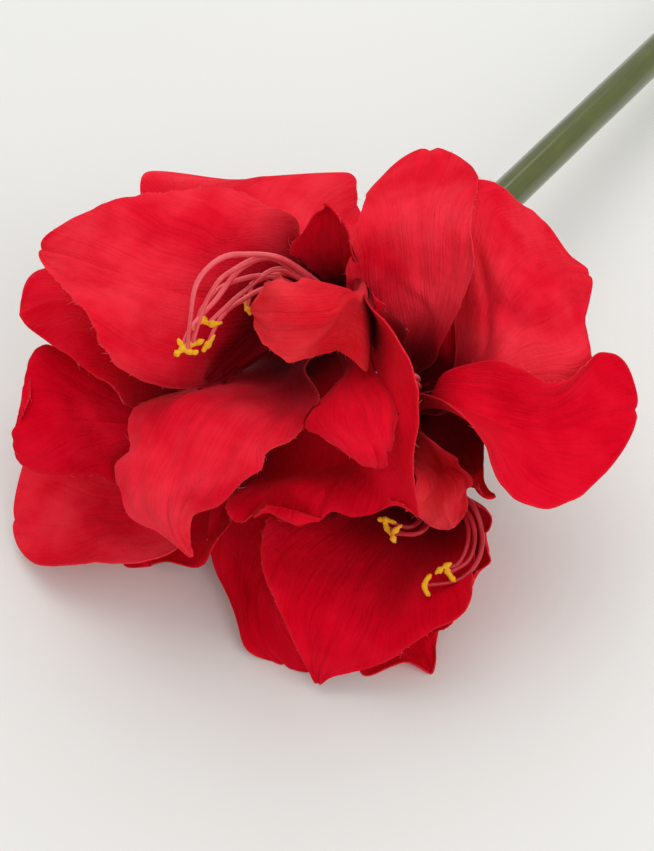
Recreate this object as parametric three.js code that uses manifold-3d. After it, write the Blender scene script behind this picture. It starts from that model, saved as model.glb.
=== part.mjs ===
// An artificial amaryllis: four red fabric blooms on one thick green plastic stem, lying on a surface.
// Millimetres, +Z up. The stem runs along +X to its cut end, and the origin is under the middle of the whole
// object, on the surface that it lies on. The blooms are placed in a head frame, whose origin is on that
// surface under the cluster: x to the right, y away and z up, as one looks at the blooms from the front.
import * as THREE from "three";
import { mergeVertices } from "three/addons/utils/BufferGeometryUtils.js";
import Module from "manifold-3d";

const wasm = await Module();
wasm.setup();

const vec = (p) => new THREE.Vector3(...p);
const radians = THREE.MathUtils.degToRad;
const mix = THREE.MathUtils.lerp;
const smooth = (x) => THREE.MathUtils.smoothstep(x, 0, 1);

// Driving dimensions
const STEM_LENGTH = 340;
const STEM_RADIUS = { top: 6.0, cut: 6.4 };
const STEM_TOP = vec([14, 20, 42]); // the stem's upper end, where the umbel sits
const STEM_HEADING = 53; // degrees, from the head frame's x to the stem
const WIRE_RADIUS = 1.5;
const WIRE_LENGTH = 90; // of the wire that shows in the cut end
const PEDICEL_RADIUS = 3.6;
const GAP = 0.35; // between pieces that touch
const FINEST_EDGE = 0.1; // shorter edges, left by a cut, are taken out
const PETAL_THICKNESS = 0.8;
const TUBE_LENGTH = 20; // the narrow part of a bloom, from the petals' roots to its mouth
const MOUTH_SPREAD = 6; // how much wider a bloom's mouth is than its root, in radius
const MOUTH_FLARE = 38; // degrees between a bloom's axis and its petals at the mouth
const CLAW_HALF_WIDTH = 2.4; // of a petal at its root
const RING = { inner: 5.6, outer: 7.0 }; // radii on which the two whorls of petals stand
const WIDEST = 0.6; // where along its length a petal is widest
const CALYX_LENGTH = 12; // from the petals' roots down to the pedicel
const STAMENS = 6;
const FILAMENT_RADIUS = 0.9;
const ANTHER = { length: 7, radius: 1.3 };
const STRIP = { width: 2.6, thickness: 0.8 };
const STRIPS = 6;

// Each bloom: the centre of its petals' roots, the way it faces, and the side that angles about that axis are
// counted from, in degrees. Its petals stand in an inner and an outer whorl. A petal's middle rib leaves the
// bloom's mouth, runs straight for `spring`, passes through `mid` and ends at `tip`. `wide` is half its
// width and `faces` the way its inner side looks. `cup` bends its left and right half towards that side, in
// degrees, and `wave` is the height of the waves along its edges. `blunt` shapes its end: small is square,
// large is pointed. The stamens leave the mouth, rise through `over` and end `spread` about `anthers`. The
// fringe lines the tube, or hangs out of the mouth with its ends between two points.
const BLOOMS = {
  upper: {
    root: [4, 0, 60],
    axis: [-0.5, -0.35, 0.79],
    first: [-1, 0, 0],
    inner: {
      left: {
        angle: 0, mid: [-48, -16, 92], tip: [-90, 0, 86], wide: 31,
        faces: [0, -0.1, 1], cup: [15, 15],
      },
      fold: {
        angle: 110, mid: [1, -52, 92], tip: [7, -68, 80], wide: 17,
        faces: [0.1, -0.4, 1], cup: [-65, -65],
      },
      tongue: {
        angle: 195, mid: [-4, -34, 106], tip: [-27, -38, 103], wide: 15, spring: 9,
      },
      curl: {
        angle: 255, mid: [-4, 2, 98], tip: [-8, 8, 108], wide: 12, spring: 8,
      },
    },
    outer: {
      drape: {
        angle: 60, mid: [-38, -57, 80], tip: [-56, -77, 56], wide: 27,
        faces: [-0.2, -0.2, 1], cup: [-25, -20],
      },
      apron: {
        angle: 170, mid: [-3, -44, 66], tip: [-10, -66, 56], wide: 33,
        faces: [-0.4, 0, 0.9], cup: [20, 30], blunt: 0.35,
      },
      back: {
        angle: 300, mid: [-31, 27, 76], tip: [-39, 62, 60], wide: 33,
        faces: [0, 0.3, 1], cup: [-10, -10], blunt: 0.3,
      },
    },
    stamens: { over: [-24, -16, 112], anthers: [-41, -38, 103] },
    fringe: [[-39, -54, 87], [-26, -46, 89]],
  },
  right: {
    root: [7, -26, 49],
    axis: [0.6, -0.1, 0.79],
    first: [0, 1, 0],
    inner: {
      top: {
        angle: 0, mid: [19, 0, 92], tip: [29, 32, 93], wide: 20,
        faces: [-0.1, -0.5, 0.8], cup: [30, 30],
      },
      dark: {
        angle: 120, mid: [22, -48, 66], tip: [36, -58, 56], wide: 9.5,
        wave: 0, faces: [0.6, 0.2, 0.6],
      },
      side: {
        angle: 240, mid: [47, -14, 84], tip: [72, 20, 74], wide: 27,
        faces: [0.1, -0.1, 1], cup: [20, 20],
      },
    },
    outer: {
      tucked: {
        angle: 60, mid: [6, -20, 80], tip: [4, -12, 88], wide: 8, spring: 6,
      },
      lower: {
        angle: 180, mid: [43, -46, 68], tip: [78, -44, 48], wide: 26,
        faces: [0, -0.2, 1], cup: [20, 20], wave: 1,
      },
      back: {
        angle: 300, mid: [36, 2, 70], tip: [43, 28, 64], wide: 20,
      },
    },
    stamens: { over: [21, -28, 76], anthers: [17, -31, 82], spread: 3 },
  },
  front: {
    root: [28, -20, 33],
    axis: [-0.35, -0.9, -0.2],
    first: [0, 0, -1],
    inner: {
      front: {
        angle: 0, mid: [5, -66, 23], tip: [-6, -92, 4], wide: 31,
        faces: [0, 0, 1], cup: [25, 25],
      },
      side: {
        angle: 120, mid: [40, -48, 28], tip: [38, -72, 15], wide: 17,
      },
      hidden: {
        angle: 240, mid: [-2, -50, 40], tip: [-22, -60, 40], wide: 18,
      },
    },
    outer: {
      under: {
        angle: 60, mid: [20, -64, 8], tip: [22, -89, 2], wide: 18,
        faces: [0, 0, 1],
      },
      brow: {
        angle: 180, mid: [25, -46, 54], tip: [28, -65, 46], wide: 16,
        faces: [-0.2, 0, -1], cup: [15, 15],
      },
      left: {
        angle: 300, mid: [-20, -60, 16], tip: [-28, -84, 4], wide: 27,
        faces: [-0.2, 0, 1],
      },
    },
    stamens: { over: [34, -60, 36], anthers: [24, -73, 37] },
  },
  left: {
    root: [-22, -12, 35],
    axis: [-0.9, -0.35, -0.1],
    first: [0, 0.35, 1],
    inner: {
      top: {
        angle: 0, mid: [-64, -10, 62], tip: [-92, -4, 64], wide: 27,
        faces: [0, -0.3, -1], cup: [20, 20],
      },
      low_back: {
        angle: 120, mid: [-58, 2, 14], tip: [-78, 14, 4], wide: 24,
      },
      bottom: {
        angle: 240, mid: [-62, -44, 20], tip: [-90, -40, 5], wide: 26,
        faces: [0, 0.3, 1],
      },
    },
    outer: {
      back: {
        angle: 60, mid: [-58, 14, 46], tip: [-82, 26, 42], wide: 25,
      },
      under: {
        angle: 180, mid: [-54, -34, 10], tip: [-66, -48, 3], wide: 22,
      },
      front: {
        angle: 300, mid: [-70, -42, 46], tip: [-90, -42, 44], wide: 22,
      },
    },
    stamens: { over: [-66, -26, 40], anthers: [-84, -20, 36] },
  },
};

const ROWS = 10; // cells along a petal
const COLUMNS = 6; // cells across it
const RIB_STEPS = 120; // along the rib, to carry the direction across it

// The rib: the tube, alike for every petal of a whorl, and then the free blade.
function ribOf(bloom, petal) {
  const axis = vec(bloom.axis).normalize();
  const root = vec(bloom.root);
  const first = vec(bloom.first);
  const radial = first.addScaledVector(axis, -first.dot(axis)).normalize();
  radial.applyAxisAngle(axis, radians(petal.angle));
  const start = root.clone().addScaledVector(radial, petal.ring);
  const mouth = start.clone().addScaledVector(axis, TUBE_LENGTH).addScaledVector(radial, MOUTH_SPREAD);
  const flare = radians(MOUTH_FLARE);
  const leaving = axis.clone().multiplyScalar(Math.cos(flare)).addScaledVector(radial, Math.sin(flare));
  const tube = new THREE.CubicBezierCurve3(
    start,
    start.clone().addScaledVector(axis, TUBE_LENGTH * 0.4),
    mouth.clone().addScaledVector(leaving, -TUBE_LENGTH * 0.35),
    mouth,
  );
  const mid = vec(petal.mid);
  const tip = vec(petal.tip);
  const handle = mouth.clone().addScaledVector(leaving, petal.spring ?? 14);
  const reach = mid.clone().multiplyScalar(8).sub(mouth).addScaledVector(handle, -3).sub(tip).divideScalar(3);
  const path = new THREE.CurvePath();
  path.add(tube);
  path.add(new THREE.CubicBezierCurve3(mouth, handle, reach, tip));
  return { path, axis, radial };
}

function halfWidth(u, petal) {
  if (u < WIDEST) return mix(CLAW_HALF_WIDTH, petal.wide, Math.pow(smooth(u / WIDEST), 1.2));
  const k = (u - WIDEST) / (1 - WIDEST);
  return Math.max(0.6, petal.wide * Math.pow(Math.max(0, 1 - Math.pow(k, 2.2)), petal.blunt ?? 0.5));
}

// Points of the petal's middle surface, row by row from the claw to the tip. The direction across the petal
// is carried along the rib without turning, and then the petal is turned about its rib to face its own way.
function petalGrid(bloom, petal, spare) {
  const { path, axis, radial } = ribOf(bloom, petal);
  const frames = [];
  let across = new THREE.Vector3().crossVectors(axis, radial);
  for (let k = 0; k <= RIB_STEPS; k += 1) {
    const along = path.getTangentAt(k / RIB_STEPS);
    across = across.clone().addScaledVector(along, -across.dot(along)).normalize();
    frames.push({ at: path.getPointAt(k / RIB_STEPS), along, across });
  }
  const frameAt = (u, turn) => {
    const frame = frames[Math.round(u * RIB_STEPS)];
    const turned = frame.across.clone().applyAxisAngle(frame.along, turn);
    return { at: frame.at, across: turned, inward: new THREE.Vector3().crossVectors(frame.along, turned) };
  };
  let turn = 0;
  if (petal.faces) {
    const { across: side, inward } = frameAt(WIDEST, 0);
    const faces = vec(petal.faces);
    turn = Math.atan2(-faces.dot(side), faces.dot(inward));
  }
  const baseRows = Math.round(ROWS * 0.5);
  const grid = [];
  for (let i = 0; i <= ROWS; i += 1) {
    const end = (i - baseRows) / (ROWS - baseRows);
    const u = end < 0 ? (WIDEST * i) / baseRows : mix(WIDEST, 1, Math.sin((Math.PI / 2) * end));
    const { at, across: side, inward } = frameAt(u, turn * smooth((u - 0.15) / 0.45));
    const half = halfWidth(u, petal) + spare;
    const settled = smooth((u - 0.05) / 0.4);
    const cups = (petal.cup ?? [25, 25]).map((cup) => mix((half / petal.ring) * 0.75, radians(cup), settled));
    const row = [];
    for (let j = 0; j <= COLUMNS; j += 1) {
      const v = (2 * j) / COLUMNS - 1;
      const bend = cups[v < 0 ? 0 : 1];
      const phase = 2 * Math.PI * 2.4 * u + (v < 0 ? 0 : 1.9) + radians(petal.angle);
      const ruffled = Math.pow(Math.abs(v), 2.5) * smooth((u - 0.3) / 0.3);
      const rise = (half * (1 - Math.cos(bend * v))) / bend + (petal.wave ?? 2) * ruffled * Math.sin(phase);
      const reach = (half * Math.sin(bend * v)) / bend;
      const point = at.clone().addScaledVector(side, reach).addScaledVector(inward, rise);
      point.z = Math.max(point.z, PETAL_THICKNESS / 2);
      row.push(point);
    }
    grid.push(row);
  }
  return grid;
}

// A closed blade around a grid of points, split into triangles alike on both faces.
function bladeGeometry(grid, thickness) {
  const rows = grid.length;
  const columns = grid[0].length;
  const positions = [];
  for (const face of [0.5, -0.5])
    for (let i = 0; i < rows; i += 1)
      for (let j = 0; j < columns; j += 1) {
        const along = grid[Math.min(i + 1, rows - 1)][j].clone().sub(grid[Math.max(i - 1, 0)][j]);
        const across = grid[i][Math.min(j + 1, columns - 1)].clone().sub(grid[i][Math.max(j - 1, 0)]);
        const normal = new THREE.Vector3().crossVectors(along, across).normalize();
        const point = grid[i][j].clone().addScaledVector(normal, thickness * face);
        positions.push(point.x, point.y, thickness > PETAL_THICKNESS ? point.z : Math.max(point.z, 0));
      }
  const back = rows * columns;
  const at = (i, j) => i * columns + j;
  const index = [];
  const quad = (a, b, c, d) => index.push(a, b, c, a, c, d);
  for (let i = 0; i < rows - 1; i += 1)
    for (let j = 0; j < columns - 1; j += 1) {
      const [a, b, c, d] = [at(i, j), at(i + 1, j), at(i + 1, j + 1), at(i, j + 1)];
      quad(a, b, c, d);
      index.push(a + back, c + back, b + back, a + back, d + back, c + back);
    }
  const wall = (a, b) => quad(a, a + back, b + back, b);
  for (let i = 0; i < rows - 1; i += 1) {
    wall(at(i, 0), at(i + 1, 0));
    wall(at(i + 1, columns - 1), at(i, columns - 1));
  }
  for (let j = 0; j < columns - 1; j += 1) {
    wall(at(0, j + 1), at(0, j));
    wall(at(rows - 1, j), at(rows - 1, j + 1));
  }
  const geometry = new THREE.BufferGeometry();
  geometry.setAttribute("position", new THREE.Float32BufferAttribute(positions, 3));
  geometry.setIndex(index);
  return geometry;
}

// Joins and cuts.
function solid(geometry) {
  const bare = new THREE.BufferGeometry();
  bare.setAttribute("position", geometry.getAttribute("position"));
  bare.setIndex(geometry.index);
  const { attributes, index } = mergeVertices(bare, 1e-3);
  const mesh = new wasm.Mesh({
    numProp: 3,
    vertProperties: attributes.position.array,
    triVerts: new Uint32Array(index.array),
  });
  return new wasm.Manifold(mesh);
}

function geometryOf(body) {
  const mesh = body.getMesh();
  const geometry = new THREE.BufferGeometry();
  geometry.setAttribute("position", new THREE.Float32BufferAttribute(mesh.vertProperties, 3));
  geometry.setIndex(Array.from(mesh.triVerts));
  return geometry;
}

const joined = (geometries) => geometryOf(wasm.Manifold.union(geometries.map(solid)));

// A round bar along a curve.
function bar(curve, radius, steps, sides) {
  const shape = new THREE.Shape();
  for (let k = 0; k < sides; k += 1) {
    const angle = (2 * Math.PI * k) / sides;
    const corner = [radius * Math.cos(angle), radius * Math.sin(angle)];
    if (k === 0) shape.moveTo(...corner);
    else shape.lineTo(...corner);
  }
  shape.closePath();
  return new THREE.ExtrudeGeometry(shape, { steps, extrudePath: curve, bevelEnabled: false });
}

// A body turned from [radius, height] corners, stood at a point along a direction.
function turned(corners, sides, place, direction) {
  const profile = corners.map((corner) => new THREE.Vector2(...corner));
  const up = new THREE.Vector3(0, 1, 0);
  const turn = new THREE.Quaternion().setFromUnitVectors(up, direction.clone().normalize());
  return new THREE.LatheGeometry(profile, sides).applyQuaternion(turn).translate(...place.toArray());
}

const head = new THREE.Group();
head.rotation.z = radians(-STEM_HEADING);
const material = (color, roughness) => new THREE.MeshStandardMaterial({ color, roughness, metalness: 0 });
const FABRIC = material(0xc8102a, 0.85);
const GREEN = material(0x5a6418, 0.45);
const RED_PLASTIC = material(0xd23440, 0.3);
const STEEL = new THREE.MeshStandardMaterial({ color: 0x9a9a98, roughness: 0.4, metalness: 1 });

function add(name, geometry, finish) {
  const mesh = new THREE.Mesh(geometry, finish);
  mesh.name = name;
  head.add(mesh);
}

// The stem, with a wire core that shows in its cut end. The edge of that end rests on the surface.
const drop = STEM_TOP.z - STEM_RADIUS.cut;
const run = Math.sqrt(STEM_LENGTH ** 2 - drop ** 2);
const heading = radians(STEM_HEADING);
const cut = STEM_TOP.clone().add(new THREE.Vector3(run * Math.cos(heading), run * Math.sin(heading), -drop));
const stemUp = STEM_TOP.clone().sub(cut).normalize();
cut.z = STEM_RADIUS.cut * Math.hypot(stemUp.x, stemUp.y);
const bore = WIRE_RADIUS + GAP;
const stemCorners = [
  [0, WIRE_LENGTH + GAP],
  [bore, WIRE_LENGTH + GAP],
  [bore, 0],
  [STEM_RADIUS.cut, 0],
  [mix(STEM_RADIUS.cut, STEM_RADIUS.top, 0.5), STEM_LENGTH * 0.5],
  [STEM_RADIUS.top, STEM_LENGTH],
  [0, STEM_LENGTH],
];
add("stem", turned(stemCorners, 24, cut, stemUp), GREEN);
const wireCorners = [
  [0, 0],
  [WIRE_RADIUS, 0],
  [WIRE_RADIUS, WIRE_LENGTH],
  [0, WIRE_LENGTH],
];
add("stem_wire", turned(wireCorners, 12, cut, stemUp), STEEL);

// The umbel: a swelling on the stem's end that branches into one pedicel for each bloom.
const swelling = [
  [0, GAP],
  [STEM_RADIUS.top, GAP],
  [7.2, 5],
  [7.2, 10],
  [5, 15],
  [0, 17],
];
const umbel = [turned(swelling, 20, STEM_TOP, stemUp)];
const fork = STEM_TOP.clone().addScaledVector(stemUp, 11);
for (const bloom of Object.values(BLOOMS)) {
  const axis = vec(bloom.axis).normalize();
  const end = vec(bloom.root).addScaledVector(axis, -CALYX_LENGTH - GAP);
  const reach = end.distanceTo(fork) * 0.45;
  const curve = new THREE.CubicBezierCurve3(
    fork,
    fork.clone().addScaledVector(stemUp, reach),
    end.clone().addScaledVector(axis, -reach),
    end,
  );
  umbel.push(bar(curve, PEDICEL_RADIUS, 8, 8));
}
add("umbel", joined(umbel), GREEN);

const calyxCorners = [
  [0, -CALYX_LENGTH],
  [4.2, -CALYX_LENGTH],
  [5.2, -8],
  [8.0, -3],
  [9.2, 2],
  [9.3, 5],
  [8.5, 5],
  [8.3, -GAP],
  [0, -GAP],
];

// One moulding of six stamens and a style, on a plug in the middle of the bloom.
function stamenSprig(bloom) {
  const axis = vec(bloom.axis).normalize();
  const root = vec(bloom.root);
  const over = vec(bloom.stamens.over);
  const anthers = vec(bloom.stamens.anthers);
  const aside = anthers.clone().sub(over).cross(axis).normalize();
  const below = aside.clone().cross(axis).normalize();
  const plug = [
    [0, GAP],
    [3.2, GAP],
    [3.2, 5],
    [0, 5],
  ];
  const spread = bloom.stamens.spread ?? 7;
  const pieces = [turned(plug, 12, root, axis)];
  for (let k = 0; k <= STAMENS; k += 1) {
    const angle = (2 * Math.PI * k) / STAMENS;
    const isStyle = k === STAMENS;
    const offset = new THREE.Vector3();
    if (!isStyle) offset.addScaledVector(aside, Math.cos(angle)).addScaledVector(below, Math.sin(angle));
    const start = root.clone().addScaledVector(axis, 3).addScaledVector(offset, 2.2);
    const mouth = root.clone().addScaledVector(axis, TUBE_LENGTH).addScaledVector(offset, 2.6);
    const top = over.clone().addScaledVector(offset, spread * 0.6);
    const end = anthers.clone().addScaledVector(offset, spread).addScaledVector(aside, k % 3);
    const curve = new THREE.CatmullRomCurve3([start, mouth, top, end], false, "centripetal");
    pieces.push(bar(curve, FILAMENT_RADIUS, 6, 5));
    if (isStyle) continue;
    const cross = curve.getTangent(1).cross(offset).normalize();
    const turn = new THREE.Quaternion().setFromUnitVectors(new THREE.Vector3(0, 1, 0), cross);
    const anther = new THREE.SphereGeometry(1, 6, 3).scale(ANTHER.radius, ANTHER.length / 2, ANTHER.radius);
    pieces.push(anther.applyQuaternion(turn).translate(...end.toArray()));
  }
  return joined(pieces);
}

// The fringe: a collar round the stamens with narrow strips, which line the tube or hang out of the mouth.
function fringe(bloom) {
  const axis = vec(bloom.axis).normalize();
  const root = vec(bloom.root);
  const collar = [
    [4, GAP],
    [4.8, GAP],
    [4.8, 8],
    [4, 8],
    [4, GAP],
  ];
  const place = (height, radial, radius) => {
    return root.clone().addScaledVector(axis, height).addScaledVector(radial, radius);
  };
  const pieces = [turned(collar, 12, root, axis)];
  const first = new THREE.Vector3(0, 0, 1).cross(axis).normalize();
  for (let k = 0; k < STRIPS; k += 1) {
    const radial = first.clone().applyAxisAngle(axis, (2 * Math.PI * k) / STRIPS);
    let end = place(TUBE_LENGTH - 2, radial, 7);
    let bend = place(16, radial, 5);
    if (bloom.fringe) {
      const [from, to] = bloom.fringe.map(vec);
      end = from.lerp(to, k / (STRIPS - 1));
      radial.copy(end).sub(root).addScaledVector(axis, -radial.dot(axis)).normalize();
      radial.applyAxisAngle(axis, radians((k - (STRIPS - 1) / 2) * 24));
      bend = place(TUBE_LENGTH + 12, radial, 8);
    }
    const curve = new THREE.CubicBezierCurve3(place(5, radial, 4.4), place(12, radial, 4.4), bend, end);
    const cells = bloom.fringe ? 5 : 3;
    const grid = [];
    for (let i = 0; i <= cells; i += 1) {
      const along = curve.getTangent(i / cells);
      const across = new THREE.Vector3().crossVectors(axis, radial);
      across.addScaledVector(along, -across.dot(along)).normalize();
      const at = curve.getPoint(i / cells);
      grid.push([-1, 1].map((v) => at.clone().addScaledVector(across, (v * STRIP.width) / 2)));
    }
    pieces.push(bladeGeometry(grid, STRIP.thickness));
  }
  return joined(pieces);
}

for (const [name, bloom] of Object.entries(BLOOMS)) {
  add(`${name}_calyx`, turned(calyxCorners, 12, vec(bloom.root), vec(bloom.axis)), GREEN);
  add(`${name}_fringe`, fringe(bloom), FABRIC);
  add(`${name}_stamens`, stamenSprig(bloom), RED_PLASTIC);
}

// Where two petals meet, the one that comes later in this list is cut back along the other, and what stays on
// its claw is kept.
const ORDER = [
  "upper inner tongue",
  "upper inner left",
  "upper inner fold",
  "upper outer drape",
  "upper outer apron",
  "upper inner curl",
  "right inner side",
  "right outer lower",
  "right inner top",
  "front inner front",
  "front outer brow",
  "left outer front",
  "left inner bottom",
  "upper outer back",
  "front outer left",
  "left inner top",
  "front outer under",
  "front inner side",
  "left outer under",
  "right inner dark",
  "right outer back",
  "left outer back",
  "left inner low_back",
  "front inner hidden",
  "right outer tucked",
];
const cutters = [];
for (const key of ORDER) {
  const [bloomName, whorl, petalName] = key.split(" ");
  const bloom = BLOOMS[bloomName];
  const petal = { ...bloom[whorl][petalName], ring: RING[whorl] };
  const blade = solid(bladeGeometry(petalGrid(bloom, petal, 0), PETAL_THICKNESS));
  const pieces = wasm.Manifold.difference([blade, ...cutters]).decompose();
  const claw = vec(bloom.root);
  const distance = (piece) => {
    const { min, max } = piece.boundingBox();
    return new THREE.Box3(vec(min), vec(max)).distanceToPoint(claw);
  };
  pieces.sort((a, b) => distance(a) - distance(b));
  add(`${bloomName}_petal_${petalName}`, geometryOf(pieces[0].simplify(FINEST_EDGE)), FABRIC);
  cutters.push(solid(bladeGeometry(petalGrid(bloom, petal, GAP), PETAL_THICKNESS + 2 * GAP)));
}

// The object is shifted so that it stands on the surface, over the origin.
const part = new THREE.Group();
part.add(head);
part.updateMatrixWorld(true);
const box = new THREE.Box3().setFromObject(part, true);
const middle = box.getCenter(new THREE.Vector3());
part.position.set(-middle.x, -middle.y, -box.min.z);
export default part;
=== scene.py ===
# The looks of an artificial amaryllis: four red cloth blooms on a thick green plastic stem, lying on a pale
# table. Shapes are worked out in millimetres in the head frame of the flower, whose origin is on the table
# under the blooms: x to the right, y away and z up, as one looks at the blooms from the front.
import math
import bmesh
import bpy
import numpy as np
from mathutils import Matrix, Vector
from mathutils.kdtree import KDTree


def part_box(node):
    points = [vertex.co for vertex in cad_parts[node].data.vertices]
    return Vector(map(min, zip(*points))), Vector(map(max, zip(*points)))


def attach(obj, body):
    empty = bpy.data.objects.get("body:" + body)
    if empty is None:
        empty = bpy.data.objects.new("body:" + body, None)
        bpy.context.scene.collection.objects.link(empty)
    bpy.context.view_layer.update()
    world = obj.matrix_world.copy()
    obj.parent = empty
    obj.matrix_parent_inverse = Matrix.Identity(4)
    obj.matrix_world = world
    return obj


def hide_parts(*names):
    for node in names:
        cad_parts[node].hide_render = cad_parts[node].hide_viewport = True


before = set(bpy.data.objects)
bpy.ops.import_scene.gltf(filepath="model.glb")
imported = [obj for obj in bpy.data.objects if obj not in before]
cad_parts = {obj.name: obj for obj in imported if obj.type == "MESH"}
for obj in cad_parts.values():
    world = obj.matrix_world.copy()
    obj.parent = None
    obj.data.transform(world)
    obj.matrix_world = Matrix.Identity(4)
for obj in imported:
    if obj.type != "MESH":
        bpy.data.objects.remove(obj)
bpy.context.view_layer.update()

MM = 0.001

# The stem, the steel wire in its cut end, and the umbel. STEM_TOP is where the stem goes over into the umbel.
STEM_LENGTH = 340
STEM_RADIUS = {"top": 6.0, "cut": 6.4}
STEM_TOP = (14, 20, 42)
STEM_HEADING = math.radians(53)
WIRE_RADIUS = 1.5
WIRE_LENGTH = 90
PEDICEL_RADIUS = 3.6
CALYX_LENGTH = 12
GAP = 0.35

# A petal starts on a ring in its calyx and follows the bloom's tube to its mouth. WIDEST is how far along it
# is widest, as a share of its length.
RING = {"inner": 5.6, "outer": 7.0}
TUBE_LENGTH = 20
MOUTH_SPREAD = 6
MOUTH_FLARE = math.radians(38)
CLAW_HALF_WIDTH = 2.4
TIP_HALF_WIDTH = 0.6
WIDEST = 0.6
CLOTH_THICKNESS = 0.45

# The grid of a petal, with rows closer together near the tip and columns closer together near the edges.
ROWS = {"claw": 48, "tip": 40}
COLUMNS = 56
CROWDING = 0.82
RIB_POINTS = 241

# How many flat sides the round things have.
SIDES = {"stem": 56, "wire": 24, "umbel": 40, "pedicel": 24, "calyx": 72, "plug": 28, "filament": 12,
         "anther": 14, "collar": 40}

# The camera of the photograph, in the head frame, and its picture in pixels.
CAMERA = {"target": (-7.6, -30.9, 46), "distance": 501, "elevation": math.radians(55), "lens": 70,
          "sensor": 36}
PICTURE = {"width": 654, "height": 851, "focal": 1655.0}

# How cloth strays from its plain shape: which random draw, how much, its shortest and longest waves in
# millimetres, and how many waves are mixed.
UNEVEN = {
    "ragged edge": dict(draw=1, much=0.035, shortest=9, longest=34, waves=8),
    "nicked edge": dict(draw=6, much=0.34, shortest=2.6, longest=8, waves=9),
    "ruffled edge": dict(draw=2, much=0.9, shortest=11, longest=26, waves=7),
    "crumpled": dict(draw=3, much=0.9, shortest=11, longest=42, waves=14),
    "wandering pleats": dict(draw=4, much=1.5, shortest=30, longest=60, waves=5),
}

# Where along a petal something sets in, and over how much of its length, both as shares of the length.
SETS_IN = {
    "bend": (0.08, 0.25),
    "cup": (0.05, 0.4),
    "turn": (0.15, 0.45),
    "uneven cloth": (0.25, 0.3),
    "waved edge": (0.3, 0.3),
    "nicked edge": (0.3, 0.2),
    "even shade": (0.75, 0.15),
}
TIP_SHARE = 0.09

# The fine pleats of a petal, its pressed rib and the waves of its edges, with heights and widths in
# millimetres, and how wide the fan of its veins is at the claw, beside its width at the widest place.
PLEATS = {"count": 15, "height": 0.26}
RIB = {"depth": 0.7, "width": 1.3}
RUFFLES = {"along": 2.4, "sides_apart": 1.9}
FAN_AT_CLAW = 0.12

# How far apart the left and right edges are in the random unevenness, so that they differ.
DRAWS_APART = {"outline": 300, "ruffles": 500}

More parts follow.
